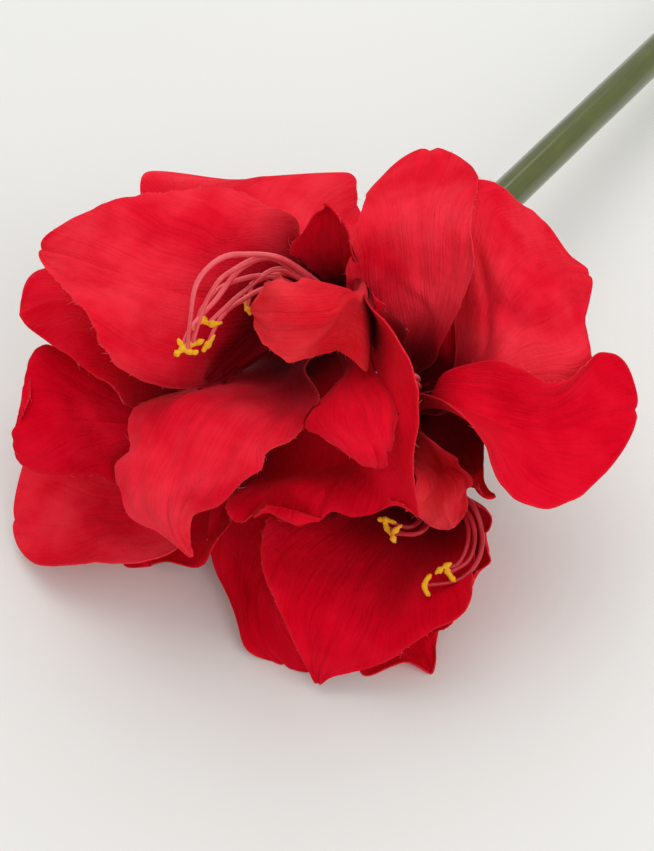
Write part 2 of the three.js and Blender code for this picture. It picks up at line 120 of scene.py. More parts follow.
# Each petal: its whorl and its angle round the bloom, where its rib passes and ends, half its width, which
# way its blade faces, how many degrees its left and right sides cup, how blunt its tip is, how far it springs
# from the tube's mouth, how high its edges wave, and its cloth. The last pair sets how far up its left and
# right sides the throat's painted shade reaches: less far above 1 and farther below, which paints petals that
# lie in shade darker.
# Where two petals meet, the one that comes later is cut back along the other.
USUAL = dict(cup=(25, 25), blunt=0.5, spring=14, wave=2, cloth="veined", dark=(1, 1))
PETALS = {
    "upper tongue": dict(whorl="inner", angle=195, mid=(-4, -34, 106), tip=(-27, -38, 103), wide=15,
                         spring=9, cloth="coarse", dark=(1.45, 1.45)),
    "upper left": dict(whorl="inner", angle=0, mid=(-48, -16, 92), tip=(-90, 0, 86), wide=31,
                       faces=(0, -0.1, 1), cup=(15, 15), cloth="paler", dark=(1.3, 0.8)),
    "upper fold": dict(whorl="inner", angle=110, mid=(1, -52, 92), tip=(7, -68, 80), wide=17,
                       faces=(0.1, -0.4, 1), cup=(-65, -65), dark=(1.1, 1.4)),
    "upper drape": dict(whorl="outer", angle=60, mid=(-38, -57, 80), tip=(-56, -77, 56), wide=27,
                        faces=(-0.2, -0.2, 1), cup=(-25, -20), cloth="paler", dark=(0.85, 0.85)),
    "upper apron": dict(whorl="outer", angle=170, mid=(-3, -44, 66), tip=(-10, -66, 56), wide=33,
                        faces=(-0.4, 0, 0.9), cup=(20, 30), blunt=0.35, dark=(0.3, 1.35)),
    "upper curl": dict(whorl="inner", angle=255, mid=(-4, 2, 98), tip=(-8, 8, 108), wide=12, spring=8),
    "right lower": dict(whorl="outer", angle=180, mid=(43, -46, 68), tip=(78, -44, 48), wide=26,
                        faces=(0, -0.2, 1), cup=(20, 20), wave=1, dark=(1.3, 1.3)),
    "right side": dict(whorl="inner", angle=240, mid=(47, -14, 84), tip=(72, 20, 74), wide=27,
                       faces=(0.1, -0.1, 1), cup=(20, 20), cloth="paler", dark=(1.2, 1.3)),
    "right top": dict(whorl="inner", angle=0, mid=(19, 0, 92), tip=(29, 32, 93), wide=20,
                      faces=(-0.1, -0.5, 0.8), cup=(30, 30), cloth="paler", dark=(1.25, 1.2)),
    "front front": dict(whorl="inner", angle=0, mid=(5, -66, 23), tip=(-6, -92, 4), wide=31,
                        faces=(0, 0, 1), cup=(25, 25)),
    "front brow": dict(whorl="outer", angle=180, mid=(25, -46, 54), tip=(28, -65, 46), wide=16,
                       faces=(-0.2, 0, -1), cup=(15, 15), cloth="coarse"),
    "left front": dict(whorl="outer", angle=300, mid=(-70, -42, 46), tip=(-90, -42, 44), wide=22),
    "left bottom": dict(whorl="inner", angle=240, mid=(-62, -44, 20), tip=(-90, -40, 5), wide=26,
                        faces=(0, 0.3, 1), cloth="paler"),
    "upper back": dict(whorl="outer", angle=300, mid=(-31, 27, 76), tip=(-39, 62, 60), wide=33,
                       faces=(0, 0.3, 1), cup=(-10, -10), blunt=0.3, cloth="paler"),
    "front left": dict(whorl="outer", angle=300, mid=(-20, -60, 16), tip=(-28, -84, 4), wide=27,
                       faces=(-0.2, 0, 1)),
    "left top": dict(whorl="inner", angle=0, mid=(-64, -10, 62), tip=(-92, -4, 64), wide=27,
                     faces=(0, -0.3, -1), cup=(20, 20), dark=(0.8, 0.8)),
    "front under": dict(whorl="outer", angle=60, mid=(20, -64, 8), tip=(22, -89, 2), wide=18,
                        faces=(0, 0, 1)),
    "front side": dict(whorl="inner", angle=120, mid=(40, -48, 28), tip=(38, -72, 15), wide=17),
    "left under": dict(whorl="outer", angle=180, mid=(-54, -34, 10), tip=(-66, -48, 3), wide=22),
    "right dark": dict(whorl="inner", angle=120, mid=(22, -48, 66), tip=(36, -58, 56), wide=9.5,
                       faces=(0.6, 0.2, 0.6), wave=0, dark=(0.5, 0.5)),
    "right back": dict(whorl="outer", angle=300, mid=(36, 2, 70), tip=(43, 28, 64), wide=20),
    "left back": dict(whorl="outer", angle=60, mid=(-58, 14, 46), tip=(-82, 26, 42), wide=25),
    "left low_back": dict(whorl="inner", angle=120, mid=(-58, 2, 14), tip=(-78, 14, 4), wide=24),
    "front hidden": dict(whorl="inner", angle=240, mid=(-2, -50, 40), tip=(-22, -60, 40), wide=18,
                         dark=(0.55, 0.55)),
    "right tucked": dict(whorl="outer", angle=60, mid=(6, -20, 80), tip=(4, -12, 88), wide=8, spring=6,
                         dark=(0.55, 0.55)),
}
PETALS = {name: {**USUAL, **petal} for name, petal in PETALS.items()}

# Where marks on a petal show in the camera's picture, along its left and right edges and within them. A mark
# is how far along the petal it is, within the edges also how far across (the edges are -1 and 1), its pixel
# from the left and from the top, and the millimetres that it comes nearer the camera. Without a pixel it only
# comes nearer.
SEEN = {
    "upper left": dict(
        left=[(0.3, 300, 225), (0.45, 255, 200), (0.6, 205, 190), (0.68, 175, 192), (0.75, 148, 193),
              (0.83, 118, 199), (0.9, 92, 210)],
        right=[(0.9, 60, 283), (0.75, 90, 318), (0.66, 104, 347), (0.6, 120, 368), (0.52, 152, 384),
              (0.45, 190, 389, -2), (0.38, 226, 380, -8), (0.3, 262, 358, -13)],
        within=[(1, 0, 42, 250), (0.3, 0.5, -8), (0.45, 0, 2), (0.6, 0.5, -2), (0.45, -0.5, 5),
              (0.3, -0.5, 6)],
    ),
    "upper back": dict(
        left=[(0.99, 290, 177), (0.97, 322, 175), (0.93, 351, 173, 3), (0.83, 358, 200, 4),
              (0.65, 366, 238), (0.5, 374, 268, -3)],
        right=[(0.93, 148, 172), (0.97, 178, 173), (0.99, 210, 178), (0.83, 142, 200), (0.6, 150, 245)],
        within=[(1, 0, 250, 181), (0.85, 0, -3)],
    ),
    "upper curl": dict(
        left=[(0.9, 338, 214), (0.75, 350, 238, -2), (0.6, 356, 262, -5), (0.45, 362, 282, -7)],
        right=[(0.9, 315, 214), (0.75, 303, 232), (0.6, 290, 247), (0.45, 303, 262)],
        within=[(1, 0, 327, 206), (0.7, 0, 3)],
    ),
    "upper tongue": dict(
        left=[(0.95, 254, 325), (0.9, 261, 339), (0.82, 271, 350), (0.75, 281, 357), (0.68, 292, 362),
              (0.6, 308, 358), (0.52, 322, 354), (0.45, 337, 350), (0.38, 351, 358, 7),
              (0.3, 368, 372, 12)],
        right=[(0.95, 256, 299), (0.9, 263, 289), (0.82, 270, 281), (0.75, 280, 279), (0.68, 290, 284),
              (0.6, 303, 279), (0.5, 320, 284), (0.4, 337, 293), (0.3, 352, 302, 3)],
        within=[(1, 0, 251, 311), (0.3, 0, 6), (0.7, 0, -1.5), (0.5, 0, 1)],
    ),
    "upper drape": dict(
        left=[(0.22, 285, 335, -12), (0.3, 264, 352, -14), (0.38, 228, 378, -9), (0.45, 185, 392, -3),
              (0.53, 150, 400), (0.6, 133, 410), (0.68, 128, 430), (0.72, 131, 450), (0.76, 115, 462),
              (0.83, 121, 490), (0.9, 131, 519), (0.93, 150, 529), (0.96, 172, 538)],
        right=[(0.97, 191, 535), (0.93, 193, 514), (0.88, 214, 508), (0.83, 230, 496), (0.79, 247, 478),
              (0.75, 262, 470), (0.68, 267, 452), (0.6, 290, 440), (0.5, 306, 424, 2), (0.44, 318, 405, 4),
              (0.38, 316, 388, 5), (0.33, 305, 372, 6)],
        within=[(1, 0, 193, 556), (0.3, 0, -9), (0.4, 0.2, -5), (0.42, -0.5, -6)],
    ),
    "upper fold": dict(
        left=[(0.3, 345, 373), (0.38, 333, 388), (0.45, 326, 400), (0.52, 312, 413), (0.6, 304, 427),
              (0.68, 316, 434), (0.75, 330, 444), (0.85, 350, 456), (0.92, 362, 463)],
        right=[(0.3, 368, 352), (0.38, 375, 372), (0.45, 386, 381), (0.52, 395, 391), (0.6, 399, 405),
              (0.68, 397, 420), (0.75, 393, 434), (0.85, 384, 448), (0.92, 385, 459)],
        within=[(1, 0, 378, 467), (0.45, 0, 350, 385, -2), (0.6, 0, 358, 410, -3), (0.75, 0, 366, 435, -3),
              (0.9, 0, 376, 456, -1)],
    ),
    "upper apron": dict(
        left=[(0.995, 291, 510), (0.985, 277, 507), (0.97, 263, 508), (0.95, 252, 513), (0.925, 243, 521),
              (0.9, 233, 519), (0.86, 226, 510), (0.75, 235, 478, -9), (0.6, 255, 405, -14),
              (0.45, 285, 382, -12), (0.35, 296, 348, -10)],
        right=[(0.22, 352, 290, -2), (0.3, 366, 300), (0.38, 384, 320, 1), (0.45, 398, 340, 2),
              (0.5, 408, 356, 2), (0.55, 415, 375, 2), (0.65, 419, 405, 2), (0.75, 416, 445, 2),
              (0.8, 415, 475, 2), (0.85, 418, 506, 1), (0.875, 420, 519), (0.9, 410, 511),
              (0.925, 398, 501), (0.95, 388, 497), (0.97, 377, 500), (0.985, 364, 511), (0.995, 350, 514)],
        within=[(0.995, 0.55, 337, 506), (1, 0, 321, 519), (0.6, -0.4, -12), (0.75, -0.3, 330, 462, -9),
              (0.9, 0.3, 4), (0.9, -0.4, 7), (0.93, -0.8, 4), (0.7, 0.5, 2), (0.3, -0.3, -7), (0.38, 0, -7),
              (0.45, -0.5, -10), (0.3, 0.4, -5), (0.5, 0.2, -3)],
    ),
    "front front": dict(
        left=[(0.45, 300, 505), (0.6, 265, 526), (0.68, 261, 545, 1), (0.75, 263, 570, 3),
              (0.83, 274, 598, 5), (0.9, 288, 630, 6), (0.96, 303, 661, 5), (0.985, 310, 673, 3)],
        right=[(0.985, 333, 677, 1), (0.97, 350, 673), (0.93, 385, 662), (0.88, 408, 646), (0.82, 437, 628),
              (0.75, 460, 617), (0.68, 472, 590), (0.6, 474, 565), (0.45, 472, 540), (0.3, 455, 508)],
        within=[(0.65, 0.45, -3), (0.5, 0.5, -2), (1, 0, 319, 682, 2)],
    ),
    "front left": dict(
        left=[(0.6, 214, 505), (0.68, 208, 532), (0.75, 212, 560), (0.83, 228, 597), (0.9, 240, 633),
              (0.95, 256, 656)],
        right=[(0.95, 312, 666, -7), (0.9, -8), (0.75, -8)],
        within=[(1, 0, 284, 663, -3), (0.85, 0.4, -5)],
    ),
    "front brow": dict(
        left=[(0.93, 462, 519), (0.85, 467, 504), (0.75, 467, 488, 4), (0.65, 464, 471, 10),
              (0.58, 457, 458, 13), (0.5, 445, 451, 15), (0.42, 432, 441, 15), (0.33, 420, 428, 12)],
        right=[(0.5, 412, 470), (0.6, 415, 495), (0.75, 422, 520), (0.85, 430, 526), (0.93, 440, 529)],
        within=[(1, 0, 452, 528), (0.5, -0.5, 437, 458, 3), (0.6, -0.5, 447, 471, 3),
              (0.75, 0, 444, 504, 3)],
    ),
    "right top": dict(
        left=[(0.97, 460, 157), (0.9, 476, 173), (0.8, 477, 190), (0.7, 472, 215), (0.6, 471, 238),
              (0.52, 474, 260), (0.45, 467, 288), (0.38, 455, 318), (0.3, 438, 350)],
        right=[(0.9, 372, 187), (0.97, 395, 164), (0.75, 360, 215), (0.6, 350, 258, -3),
              (0.5, 346, 285, -8), (0.42, 350, 310, -10), (0.3, 380, 340, -4)],
        within=[(0.35, 0, 3), (1, 0, 430, 151), (0.5, 0, 3), (0.7, 0, 1)],
    ),
    "right side": dict(
        left=[(0.985, 590, 296), (0.93, 585, 318), (0.88, 588, 335, -4), (0.8, 592, 360, -10),
              (0.7, 585, 390, -16), (0.6, 560, 400, -17), (0.45, 510, 405, -15), (0.3, 460, 395, -8)],
        right=[(0.45, 450, 280, -6), (0.6, 466, 205, -3), (0.68, 474, 180, -1), (0.75, 498, 187),
              (0.82, 518, 202), (0.9, 541, 219), (0.95, 556, 236), (0.985, 572, 258)],
        within=[(1, 0, 588, 276), (0.45, 0, -3)],
    ),
    "right lower": dict(
        left=[(0.9, 590, 488), (0.83, 568, 502), (0.77, 545, 509), (0.7, 517, 500), (0.64, 502, 486),
              (0.57, 492, 466), (0.51, 486, 446), (0.45, 472, 425), (0.38, 454, 408), (0.3, 436, 397),
              (0.2, 423, 391, -2)],
        right=[(0.2, 422, 386, 3), (0.3, 440, 375, 5), (0.38, 460, 366, 7), (0.45, 480, 361, 8),
              (0.52, 500, 361, 8), (0.6, 525, 371, 8), (0.68, 545, 382, 8), (0.75, 566, 380, 8),
              (0.83, 585, 364, 6), (0.9, 602, 352, 2)],
        within=[(1, 0, 635, 410), (0.6, 0, 2)],
    ),
    "right dark": dict(
        left=[(0.3, 412, 418, -10), (0.45, 428, 447, -19), (0.6, 448, 474, -21), (0.75, 464, 485, -19),
              (0.9, 478, 488, -10)],
        right=[(0.3, 440, 390, -6), (0.45, 468, 405, -9), (0.6, 484, 436, -10), (0.75, 483, 463, -10),
              (0.9, 485, 483, -6)],
        within=[(1, 0, 495, 497, -3), (0.45, 0, 448, 425, -16), (0.6, 0, 466, 452, -18),
              (0.75, 0, 474, 472, -15)],
    ),
    "left top": dict(
        left=[(0.45, 150, 408), (0.6, 120, 397), (0.75, 92, 374), (0.9, 60, 350)],
        right=[(0.9, 40, 270)],
        within=[(1, 0, 20, 315)],
    ),
    "left front": dict(
        left=[(0.3, 170, 440), (0.4, 135, 450), (0.5, 114, 465), (0.6, 114, 484), (0.7, 98, 475),
              (0.8, 75, 475), (0.92, 42, 474)],
        right=[(0.9, 35, 350, -3), (0.75, 68, 352, -4), (0.6, 100, 368, -4), (0.45, 138, 390, -4)],
        within=[(1, 0, 15, 430)],
    ),
    "left bottom": dict(
        left=[(0.9, 40, 440, -3), (0.75, 80, 440, -3), (0.6, 125, 445, -3)],
        right=[(0.93, 35, 564), (0.85, 65, 565), (0.75, 95, 562), (0.6, 135, 563), (0.45, 180, 545)],
        within=[(1, 0, 15, 520)],
    ),
    "left under": dict(
        left=[(0.9, 120, 560)],
        right=[(0.9, 178, 564), (0.75, 205, 563)],
        within=[(1, 0, 150, 566)],
    ),
    "front under": dict(
        left=[(0.75, 352, 610), (0.85, 360, 655), (0.9, 364, 676), (0.94, 385, 669), (0.97, 404, 662)],
        right=[(0.97, 436, 655), (0.9, 438, 632)],
        within=[(1, 0, 431, 674)],
    ),
    "front side": dict(
        left=[(0.6, 456, 522), (0.75, 447, 550), (0.9, 460, 578)],
        right=[(0.45, 478, 505), (0.6, 487, 532), (0.75, 488, 550), (0.9, 485, 567)],
        within=[(0.45, 0, 470, 500), (0.6, 0, 478, 522), (0.75, 0, 480, 546), (0.9, 0, 477, 570),
              (1, 0, 472, 586)],
    ),
}

# Creases and soft folds: the pixels where each one starts and ends, how high it stands toward the camera, and
# how wide it is, in millimetres.
CREASES = {
    "right top": [((392, 268), (435, 318), 0.8, 1.2), ((378, 238), (400, 258), -1.6, 5)],
    "right side": [
        ((481, 255), (487, 300), -1.6, 1.4), ((487, 300), (480, 360), -1.6, 1.4),
        ((490, 262), (512, 302), 1.6, 4), ((512, 302), (545, 304), 1.6, 4),
        ((545, 304), (580, 278), 1.4, 4), ((500, 318), (530, 328), -0.8, 1.8),
        ((540, 318), (552, 338), -0.8, 1.8),
    ],
    "upper left": [
        ((110, 245), (200, 262), -1.2, 5), ((200, 215), (285, 235), 1.5, 7),
        ((130, 330), (190, 345), -1, 5), ((120, 215), (180, 235), 1, 5), ((85, 250), (110, 300), -1, 4),
    ],
    "upper drape": [
        ((158, 425), (188, 500), -1.6, 4), ((215, 400), (180, 480), 1.2, 5),
        ((240, 430), (207, 497), -1.6, 4), ((262, 422), (242, 470), 1, 3),
        ((285, 395), (268, 438), -1.2, 3), ((184, 500), (194, 545), -1.5, 2.5),
        ((148, 480), (165, 520), 1.2, 3), ((200, 392), (160, 420), 1, 4),
    ],
    "upper apron": [
        ((258, 472), (322, 446), -3.5, 8), ((328, 452), (350, 470), -2, 3),
        ((350, 470), (385, 497), -1.6, 2.5), ((245, 503), (320, 492), 1.2, 3),
        ((400, 380), (405, 470), 0.8, 4), ((296, 498), (300, 512), -1, 2), ((262, 495), (252, 512), -1, 2),
    ],
    "upper fold": [
        ((330, 415), (365, 450), -0.8, 1.5), ((345, 400), (372, 450), -0.9, 1.5),
        ((322, 420), (360, 458), 0.6, 1.5), ((380, 395), (386, 440), 0.8, 2.5),
    ],
    "front front": [
        ((392, 548), (388, 640), -1.1, 2), ((330, 560), (322, 650), 0.9, 3),
        ((300, 550), (305, 640), -0.9, 3), ((432, 545), (425, 615), 0.8, 3),
        ((360, 570), (352, 650), -0.7, 2.5),
    ],
    "front left": [((240, 560), (255, 640), -1, 3), ((225, 530), (240, 590), 0.8, 3)],
    "left front": [
        ((66, 400), (80, 403), -1.6, 2), ((80, 403), (90, 425), -1.6, 2), ((90, 425), (112, 441), -1.4, 2),
    ],
    "left top": [((88, 330), (118, 370), -1.2, 3), ((70, 310), (90, 350), 1, 3)],
    "left bottom": [((100, 500), (150, 545), -1.2, 4), ((75, 500), (110, 555), 1, 4)],
    "right lower": [
        ((455, 385), (520, 420), -1.5, 5), ((505, 400), (585, 400), 1, 4),
        ((510, 430), (585, 442), -0.8, 3), ((510, 455), (570, 480), 0.8, 3),
    ],
    "upper back": [((300, 190), (335, 230), -1.2, 4), ((180, 182), (200, 190), -0.8, 2)],
    "front brow": [((440, 462), (455, 502), 1, 3), ((430, 450), (440, 500), -0.8, 2.5)],
    "upper curl": [((322, 215), (332, 262), -1.2, 2)],
    "upper tongue": [
        ((275, 290), (300, 308), 0.8, 2.5), ((285, 330), (345, 316), -0.7, 3),
        ((262, 300), (270, 330), 0.5, 2),
    ],
}

BLOOMS = {
    "upper": dict(root=(4, 0, 60), axis=(-0.5, -0.35, 0.79), first=(-1, 0, 0)),
    "right": dict(root=(7, -26, 49), axis=(0.6, -0.1, 0.79), first=(0, 1, 0)),
    "front": dict(root=(28, -20, 33), axis=(-0.35, -0.9, -0.2), first=(0, 0, -1)),
    "left": dict(root=(-22, -12, 35), axis=(-0.9, -0.35, -0.1), first=(0, 0.35, 1)),
}

# Each stamen: the points that its filament passes after the bloom's mouth. The last one carries the anther.
STAMENS = {
    "upper": [
        [(-19, -17, 106), (-31, -26, 119), (-37, -31, 122), (-42, -37, 120), (-44, -43, 112),
         (-45, -47, 104)],
        [(-22, -18, 108), (-34, -29, 115), (-39, -35, 113), (-42, -40, 108), (-44, -44, 103)],
        [(-22, -18, 100), (-35, -28, 109), (-41, -34, 107), (-43, -38, 104)],
        [(-20, -16, 101), (-30, -26, 104), (-36, -32, 103), (-40, -36, 102)],
        [(-18, -12, 94), (-28, -19, 99), (-29, -22, 98), (-30, -24, 94)],
        [(-22, -18, 96), (-32, -26, 99), (-37, -31, 98), (-41, -38, 94)],
        [(-20, -15, 104), (-30, -24, 112), (-38, -34, 109), (-44, -42, 108), (-47, -47, 104)],
    ],
    "front": [
        [(29, -50, 40), (35, -56, 42), (38, -63, 38), (37, -71, 35), (31, -77, 33), (21, -79, 33)],
        [(28, -50, 38), (34, -58, 40), (36, -65, 38), (34, -72, 36), (28, -76, 35)],
        [(27, -50, 39), (33, -58, 39), (34, -66, 38), (31, -73, 36), (26, -75, 36)],
        [(25, -48, 40), (24, -58, 40), (20, -65, 40), (12, -65, 39)],
        [(24, -48, 38), (23, -58, 37), (18, -64, 37), (10, -62, 38)],
        [(23, -46, 38), (22, -56, 38), (17, -62, 38), (9, -60, 39)],
    ],
    "right": [
        [(15 + dx, -27 + dy, 66 + dz), (11 + 1.6 * dx, -28 + 1.6 * dy, 71 + dz)]
        for dx, dy, dz in [(0, 0, 1), (1.8, 0, 0), (-1.8, 0, 0), (0, 1.6, 0), (0, -1.6, 0), (1.2, 1.2, -1)]
    ],
    "left": [
        [(-66, -26 + dy, 40 + dz), (-84, -20 + 2 * dy, 36 + 2 * dz)]
        for dy, dz in [(0, 0), (3, 0), (-3, 0), (1, 3), (-1, -3), (2, -2)]
    ],
}

# Which way some anthers lie across the ends of their filaments.
ANTHERS = {
    "upper": [(0.8, -0.4, -0.3), (1, 0.2, 0.1), (0.7, 0.5, 0.3), (1, -0.3, -0.1), (-0.3, 0.8, 0.5),
              (0.6, 0.6, 0.4), (-0.7, -0.5, -0.4)],
    "front": [(0.05, 0.8, 0.57), (0.5, -0.7, -0.5), (0.9, 0.5, 0.3), (0.3, 0.7, 0.5), (-0.4, 0.7, 0.5),
              (0.9, -0.3, 0.2)],
}

# The first and last ends of the upper bloom's hanging fringe, and the place along a petal whose painted
# throat shade all fringes share, so that they are painted dark as if in shadow.
FRINGE_ENDS = {"upper": [(-41.0, -37.4, 76), (-28.8, -28.0, 76)]}
FRINGE_SHADE_PLACE = 0.22

# The claw's marks stay where they are. Cloth bends with a little slack, so that it stays smooth.
CLAW_MARKS = [(0.1, -0.03), (0.1, 0.03), (0.18, 0)]
BEND_SLACK = 1e-4

# How low a mark, a petal's middle surface and its cloth may come, in millimetres above the table.
LOWEST_MARK = 0.4
LOWEST_MIDDLE = CLOTH_THICKNESS / 2 + 0.05
LOWEST_POINT = 0.02

# How much wider a crease is on its easy side, and how high its ends are beside its middle.
CREASE_EASE = 1.9
CREASE_END = 0.35

# Loose thread ends at the petals' cut edges, in millimetres, and the share of a petal that is only a scrap.
THREADS = {"per_mm": 0.6, "from": 0.35, "off_edge": 0.9, "length": 0.6, "sway": 0.7, "lift": 0.6,
           "radius": (0.045, 0.075), "taper": 0.55, "rooted": 0.2, "rings": 4, "sides": 3}
SCRAP_SHARE = 0.06

FILAMENT_RADIUS = 0.92
ANTHER_RADIUS = 0.92

# The spot in the head frame that the lamps are aimed at.
LIT_SPOT = (0, -20, 40)


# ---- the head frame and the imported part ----

def unit(v):
    v = np.asarray(v, float)
    return v / np.linalg.norm(v)


def mix(a, b, k):
    return a + (b - a) * k


def smooth(x):
    x = np.clip(x, 0, 1)
    return x * x * (3 - 2 * x)


stem_drop = STEM_TOP[2] - STEM_RADIUS["cut"]
stem_run = math.sqrt(STEM_LENGTH ** 2 - stem_drop ** 2)
turn_to_part = np.array([
    [math.cos(STEM_HEADING), math.sin(STEM_HEADING), 0],
    [-math.sin(STEM_HEADING), math.cos(STEM_HEADING), 0],
    [0, 0, 1],
])
stem_low, stem_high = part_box("stem")
stem_top = turn_to_part @ np.array(STEM_TOP, float)
head_place = np.array([
    stem_high[0] / MM - STEM_RADIUS["cut"] * stem_drop / STEM_LENGTH - stem_run - stem_top[0],
    (stem_low[1] + stem_high[1]) / 2 / MM - stem_top[1],
    0,
])


def to_part(points):
    """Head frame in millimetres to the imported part's frame in metres."""
    return (np.asarray(points, float) @ turn_to_part.T + head_place) * MM


def direction_to_part(v):
    return Vector(turn_to_part @ unit(v))


# ---- shader node helpers ----

def put(tree, kind, settings=(), **sockets):
    """A node with its settings. Input sockets, by name or as i and a number, are set to values or joined."""
    node = tree.nodes.new(kind)
    for name, value in dict(settings).items():
        setattr(node, name, value)
    for name, value in sockets.items():
        numbered = name[0] == "i" and name[1:].isdigit()
        slot = node.inputs[int(name[1:]) if numbered else name.replace("_", " ")]
        if isinstance(value, bpy.types.NodeSocket):
            tree.links.new(value, slot)
        else:
            slot.default_value = value
    return node


def maths(tree, operation, a, b=0.0):
    return put(tree, "ShaderNodeMath", {"operation": operation}, i0=a, i1=b).outputs[0]


def weighted(tree, *shares):
    """The sum of some values, each times its share."""
    total = maths(tree, "MULTIPLY", *shares[0])
    for value, share in shares[1:]:
        total = maths(tree, "ADD", total, maths(tree, "MULTIPLY", value, share))
    return total


def varied(tree, least, value, spread):
    return maths(tree, "ADD", least, maths(tree, "MULTIPLY", value, spread))


def blend(tree, factor, a, b):
    """Colour a going over into colour b. Each is a socket or an amount of red, green and blue."""
    a, b = ((*colour, 1) if isinstance(colour, tuple) else colour for colour in (a, b))
    return put(tree, "ShaderNodeMix", {"data_type": "RGBA"}, i0=factor, i6=a, i7=b).outputs[2]


def ramp(tree, value, start, end, low=0.0, high=1.0, kind="LINEAR"):
    """Goes from low to high as a value goes from start to end."""
    return put(tree, "ShaderNodeMapRange", {"interpolation_type": kind}, Value=value, From_Min=start,
               From_Max=end, To_Min=low, To_Max=high).outputs[0]


def noise(tree, vector, scale, detail, roughness=0.5):
    return put(tree, "ShaderNodeTexNoise", Vector=vector, Scale=scale, Detail=detail,
               Roughness=roughness).outputs[0]


FLOAT, VECTOR = "NodeSocketFloat", "NodeSocketVector"


def effect(name, inputs, outputs):
    """An empty node group with named sockets, as seen from inside: what it is given and what it gives."""
    group = bpy.data.node_groups.new(name, "ShaderNodeTree")
    for label, kind, value in inputs:
        socket = group.interface.new_socket(label, in_out="INPUT", socket_type=kind)
        if value is not None:
            socket.default_value = value
    for label in outputs:
        group.interface.new_socket(label, in_out="OUTPUT", socket_type=FLOAT)
    return group, group.nodes.new("NodeGroupInput").outputs, group.nodes.new("NodeGroupOutput").inputs


def woven_threads():
    """Plain weave: warp and weft threads that pass over each other in turn."""
    group, given, out = effect("woven threads", [("Vector", VECTOR, None), ("Pitch", FLOAT, 0.5)],
                               ["Height", "Gaps"])
    size = maths(group, "DIVIDE", 1.0, given["Pitch"])
    cells = put(group, "ShaderNodeVectorMath", {"operation": "SCALE"}, i0=given["Vector"], Scale=size)
    cells = cells.outputs[0]
    split = put(group, "ShaderNodeSeparateXYZ", i0=cells).outputs
    warp, weft = (
        maths(group, "ABSOLUTE", maths(group, "SINE", maths(group, "MULTIPLY", split[k], math.pi)))
        for k in (0, 1)
    )
    turn = put(group, "ShaderNodeTexChecker", Vector=cells, Scale=1.0).outputs["Fac"]
    over = put(group, "ShaderNodeMix", {"data_type": "FLOAT"}, i0=turn, i2=warp, i3=weft).outputs[0]
    both = maths(group, "MULTIPLY", warp, weft)
    group.links.new(weighted(group, (over, 0.6), (both, 0.4)), out["Height"])
    group.links.new(maths(group, "SUBTRACT", 1.0, maths(group, "POWER", both, 0.5)), out["Gaps"])
    return group


def pressed_veins():
    """Veins pressed into a petal, fanning out from its claw, with satin streaks between them, which the cloth
    uses as bumps, roughness and a painted sheen.
    """
    group, given, out = effect(
        "pressed veins",
        [("Vector", VECTOR, None), ("Count", FLOAT, 9.0), ("Wander", FLOAT, 0.1)],
        ["Lines", "Streaks"],
    )
    split = put(group, "ShaderNodeSeparateXYZ", i0=given["Vector"]).outputs
    drift = maths(group, "SUBTRACT", noise(group, given["Vector"], 3.0, 2.0), 0.5)
    across = maths(group, "ADD", split[1], maths(group, "MULTIPLY", drift, given["Wander"]))
    near = maths(group, "PINGPONG", maths(group, "MULTIPLY", across, given["Count"]), 0.5)
    line = ramp(group, near, 0.0, 0.24, 1.0, 0.0, "SMOOTHSTEP")
    shown = ramp(group, noise(group, given["Vector"], 7.0, 1.0), 0.46, 0.7)
    group.links.new(maths(group, "MULTIPLY", line, shown), out["Lines"])
    long = put(group, "ShaderNodeCombineXYZ", i0=maths(group, "MULTIPLY", split[0], 2.2),
               i1=maths(group, "MULTIPLY", across, 34.0), i2=0.0).outputs[0]
    group.links.new(noise(group, long, 1.0, 3.0, 0.6), out["Streaks"])
    return group


def colour_drift():
    """Soft random patches: where the dye took more or less, and in the petal cloth also where its painted
    sheen lies.
    """
    group, given, out = effect("colour drift", [("Scale", FLOAT, 40.0)], ["Drift"])
    place = put(group, "ShaderNodeTexCoord").outputs["Object"]
    group.links.new(noise(group, place, given["Scale"], 3.0, 0.55), out["Drift"])
    return group


WEAVE, VEINS, DRIFT = woven_threads(), pressed_veins(), colour_drift()


def use_effect(tree, group, **sockets):
    return put(tree, "ShaderNodeGroup", {"node_tree": group}, **sockets).outputs


def finish_of(name, drift_scale, **constants):
    """A material with a Principled shader, whose constant sockets are set directly, and its colour drift."""
    material = bpy.data.materials.new(name)
    material.use_nodes = True
    tree = material.node_tree
    shader = tree.nodes["Principled BSDF"]
    for socket, value in constants.items():
        shader.inputs[socket.replace("_", " ")].default_value = value
    return material, tree, shader, use_effect(tree, DRIFT, Scale=drift_scale)["Drift"]


def join(tree, shader, colour, rough=None, height=None, **bumps):
    """Joins worked-out colour, roughness and bumps to a shader."""
    tree.links.new(colour, shader.inputs["Base Color"])
    if rough is not None:
        tree.links.new(rough, shader.inputs["Roughness"])
    if height is not None:
        bump = put(tree, "ShaderNodeBump", Height=height, **bumps)
        tree.links.new(bump.outputs[0], shader.inputs["Normal"])


# ---- materials ----

# Painted shade in the throat: petals are darkened toward their claws, where shade falls deep inside the
# bloom.
PAINTED_THROAT_SHADE = {"from": 0.26, "to": 0.56, "share": 0.93, "colour": (0.055, 0.0002, 0.002)}
PALE_RIM = {"share": 0.16, "colour": (0.90, 0.07, 0.09), "width": 0.5}
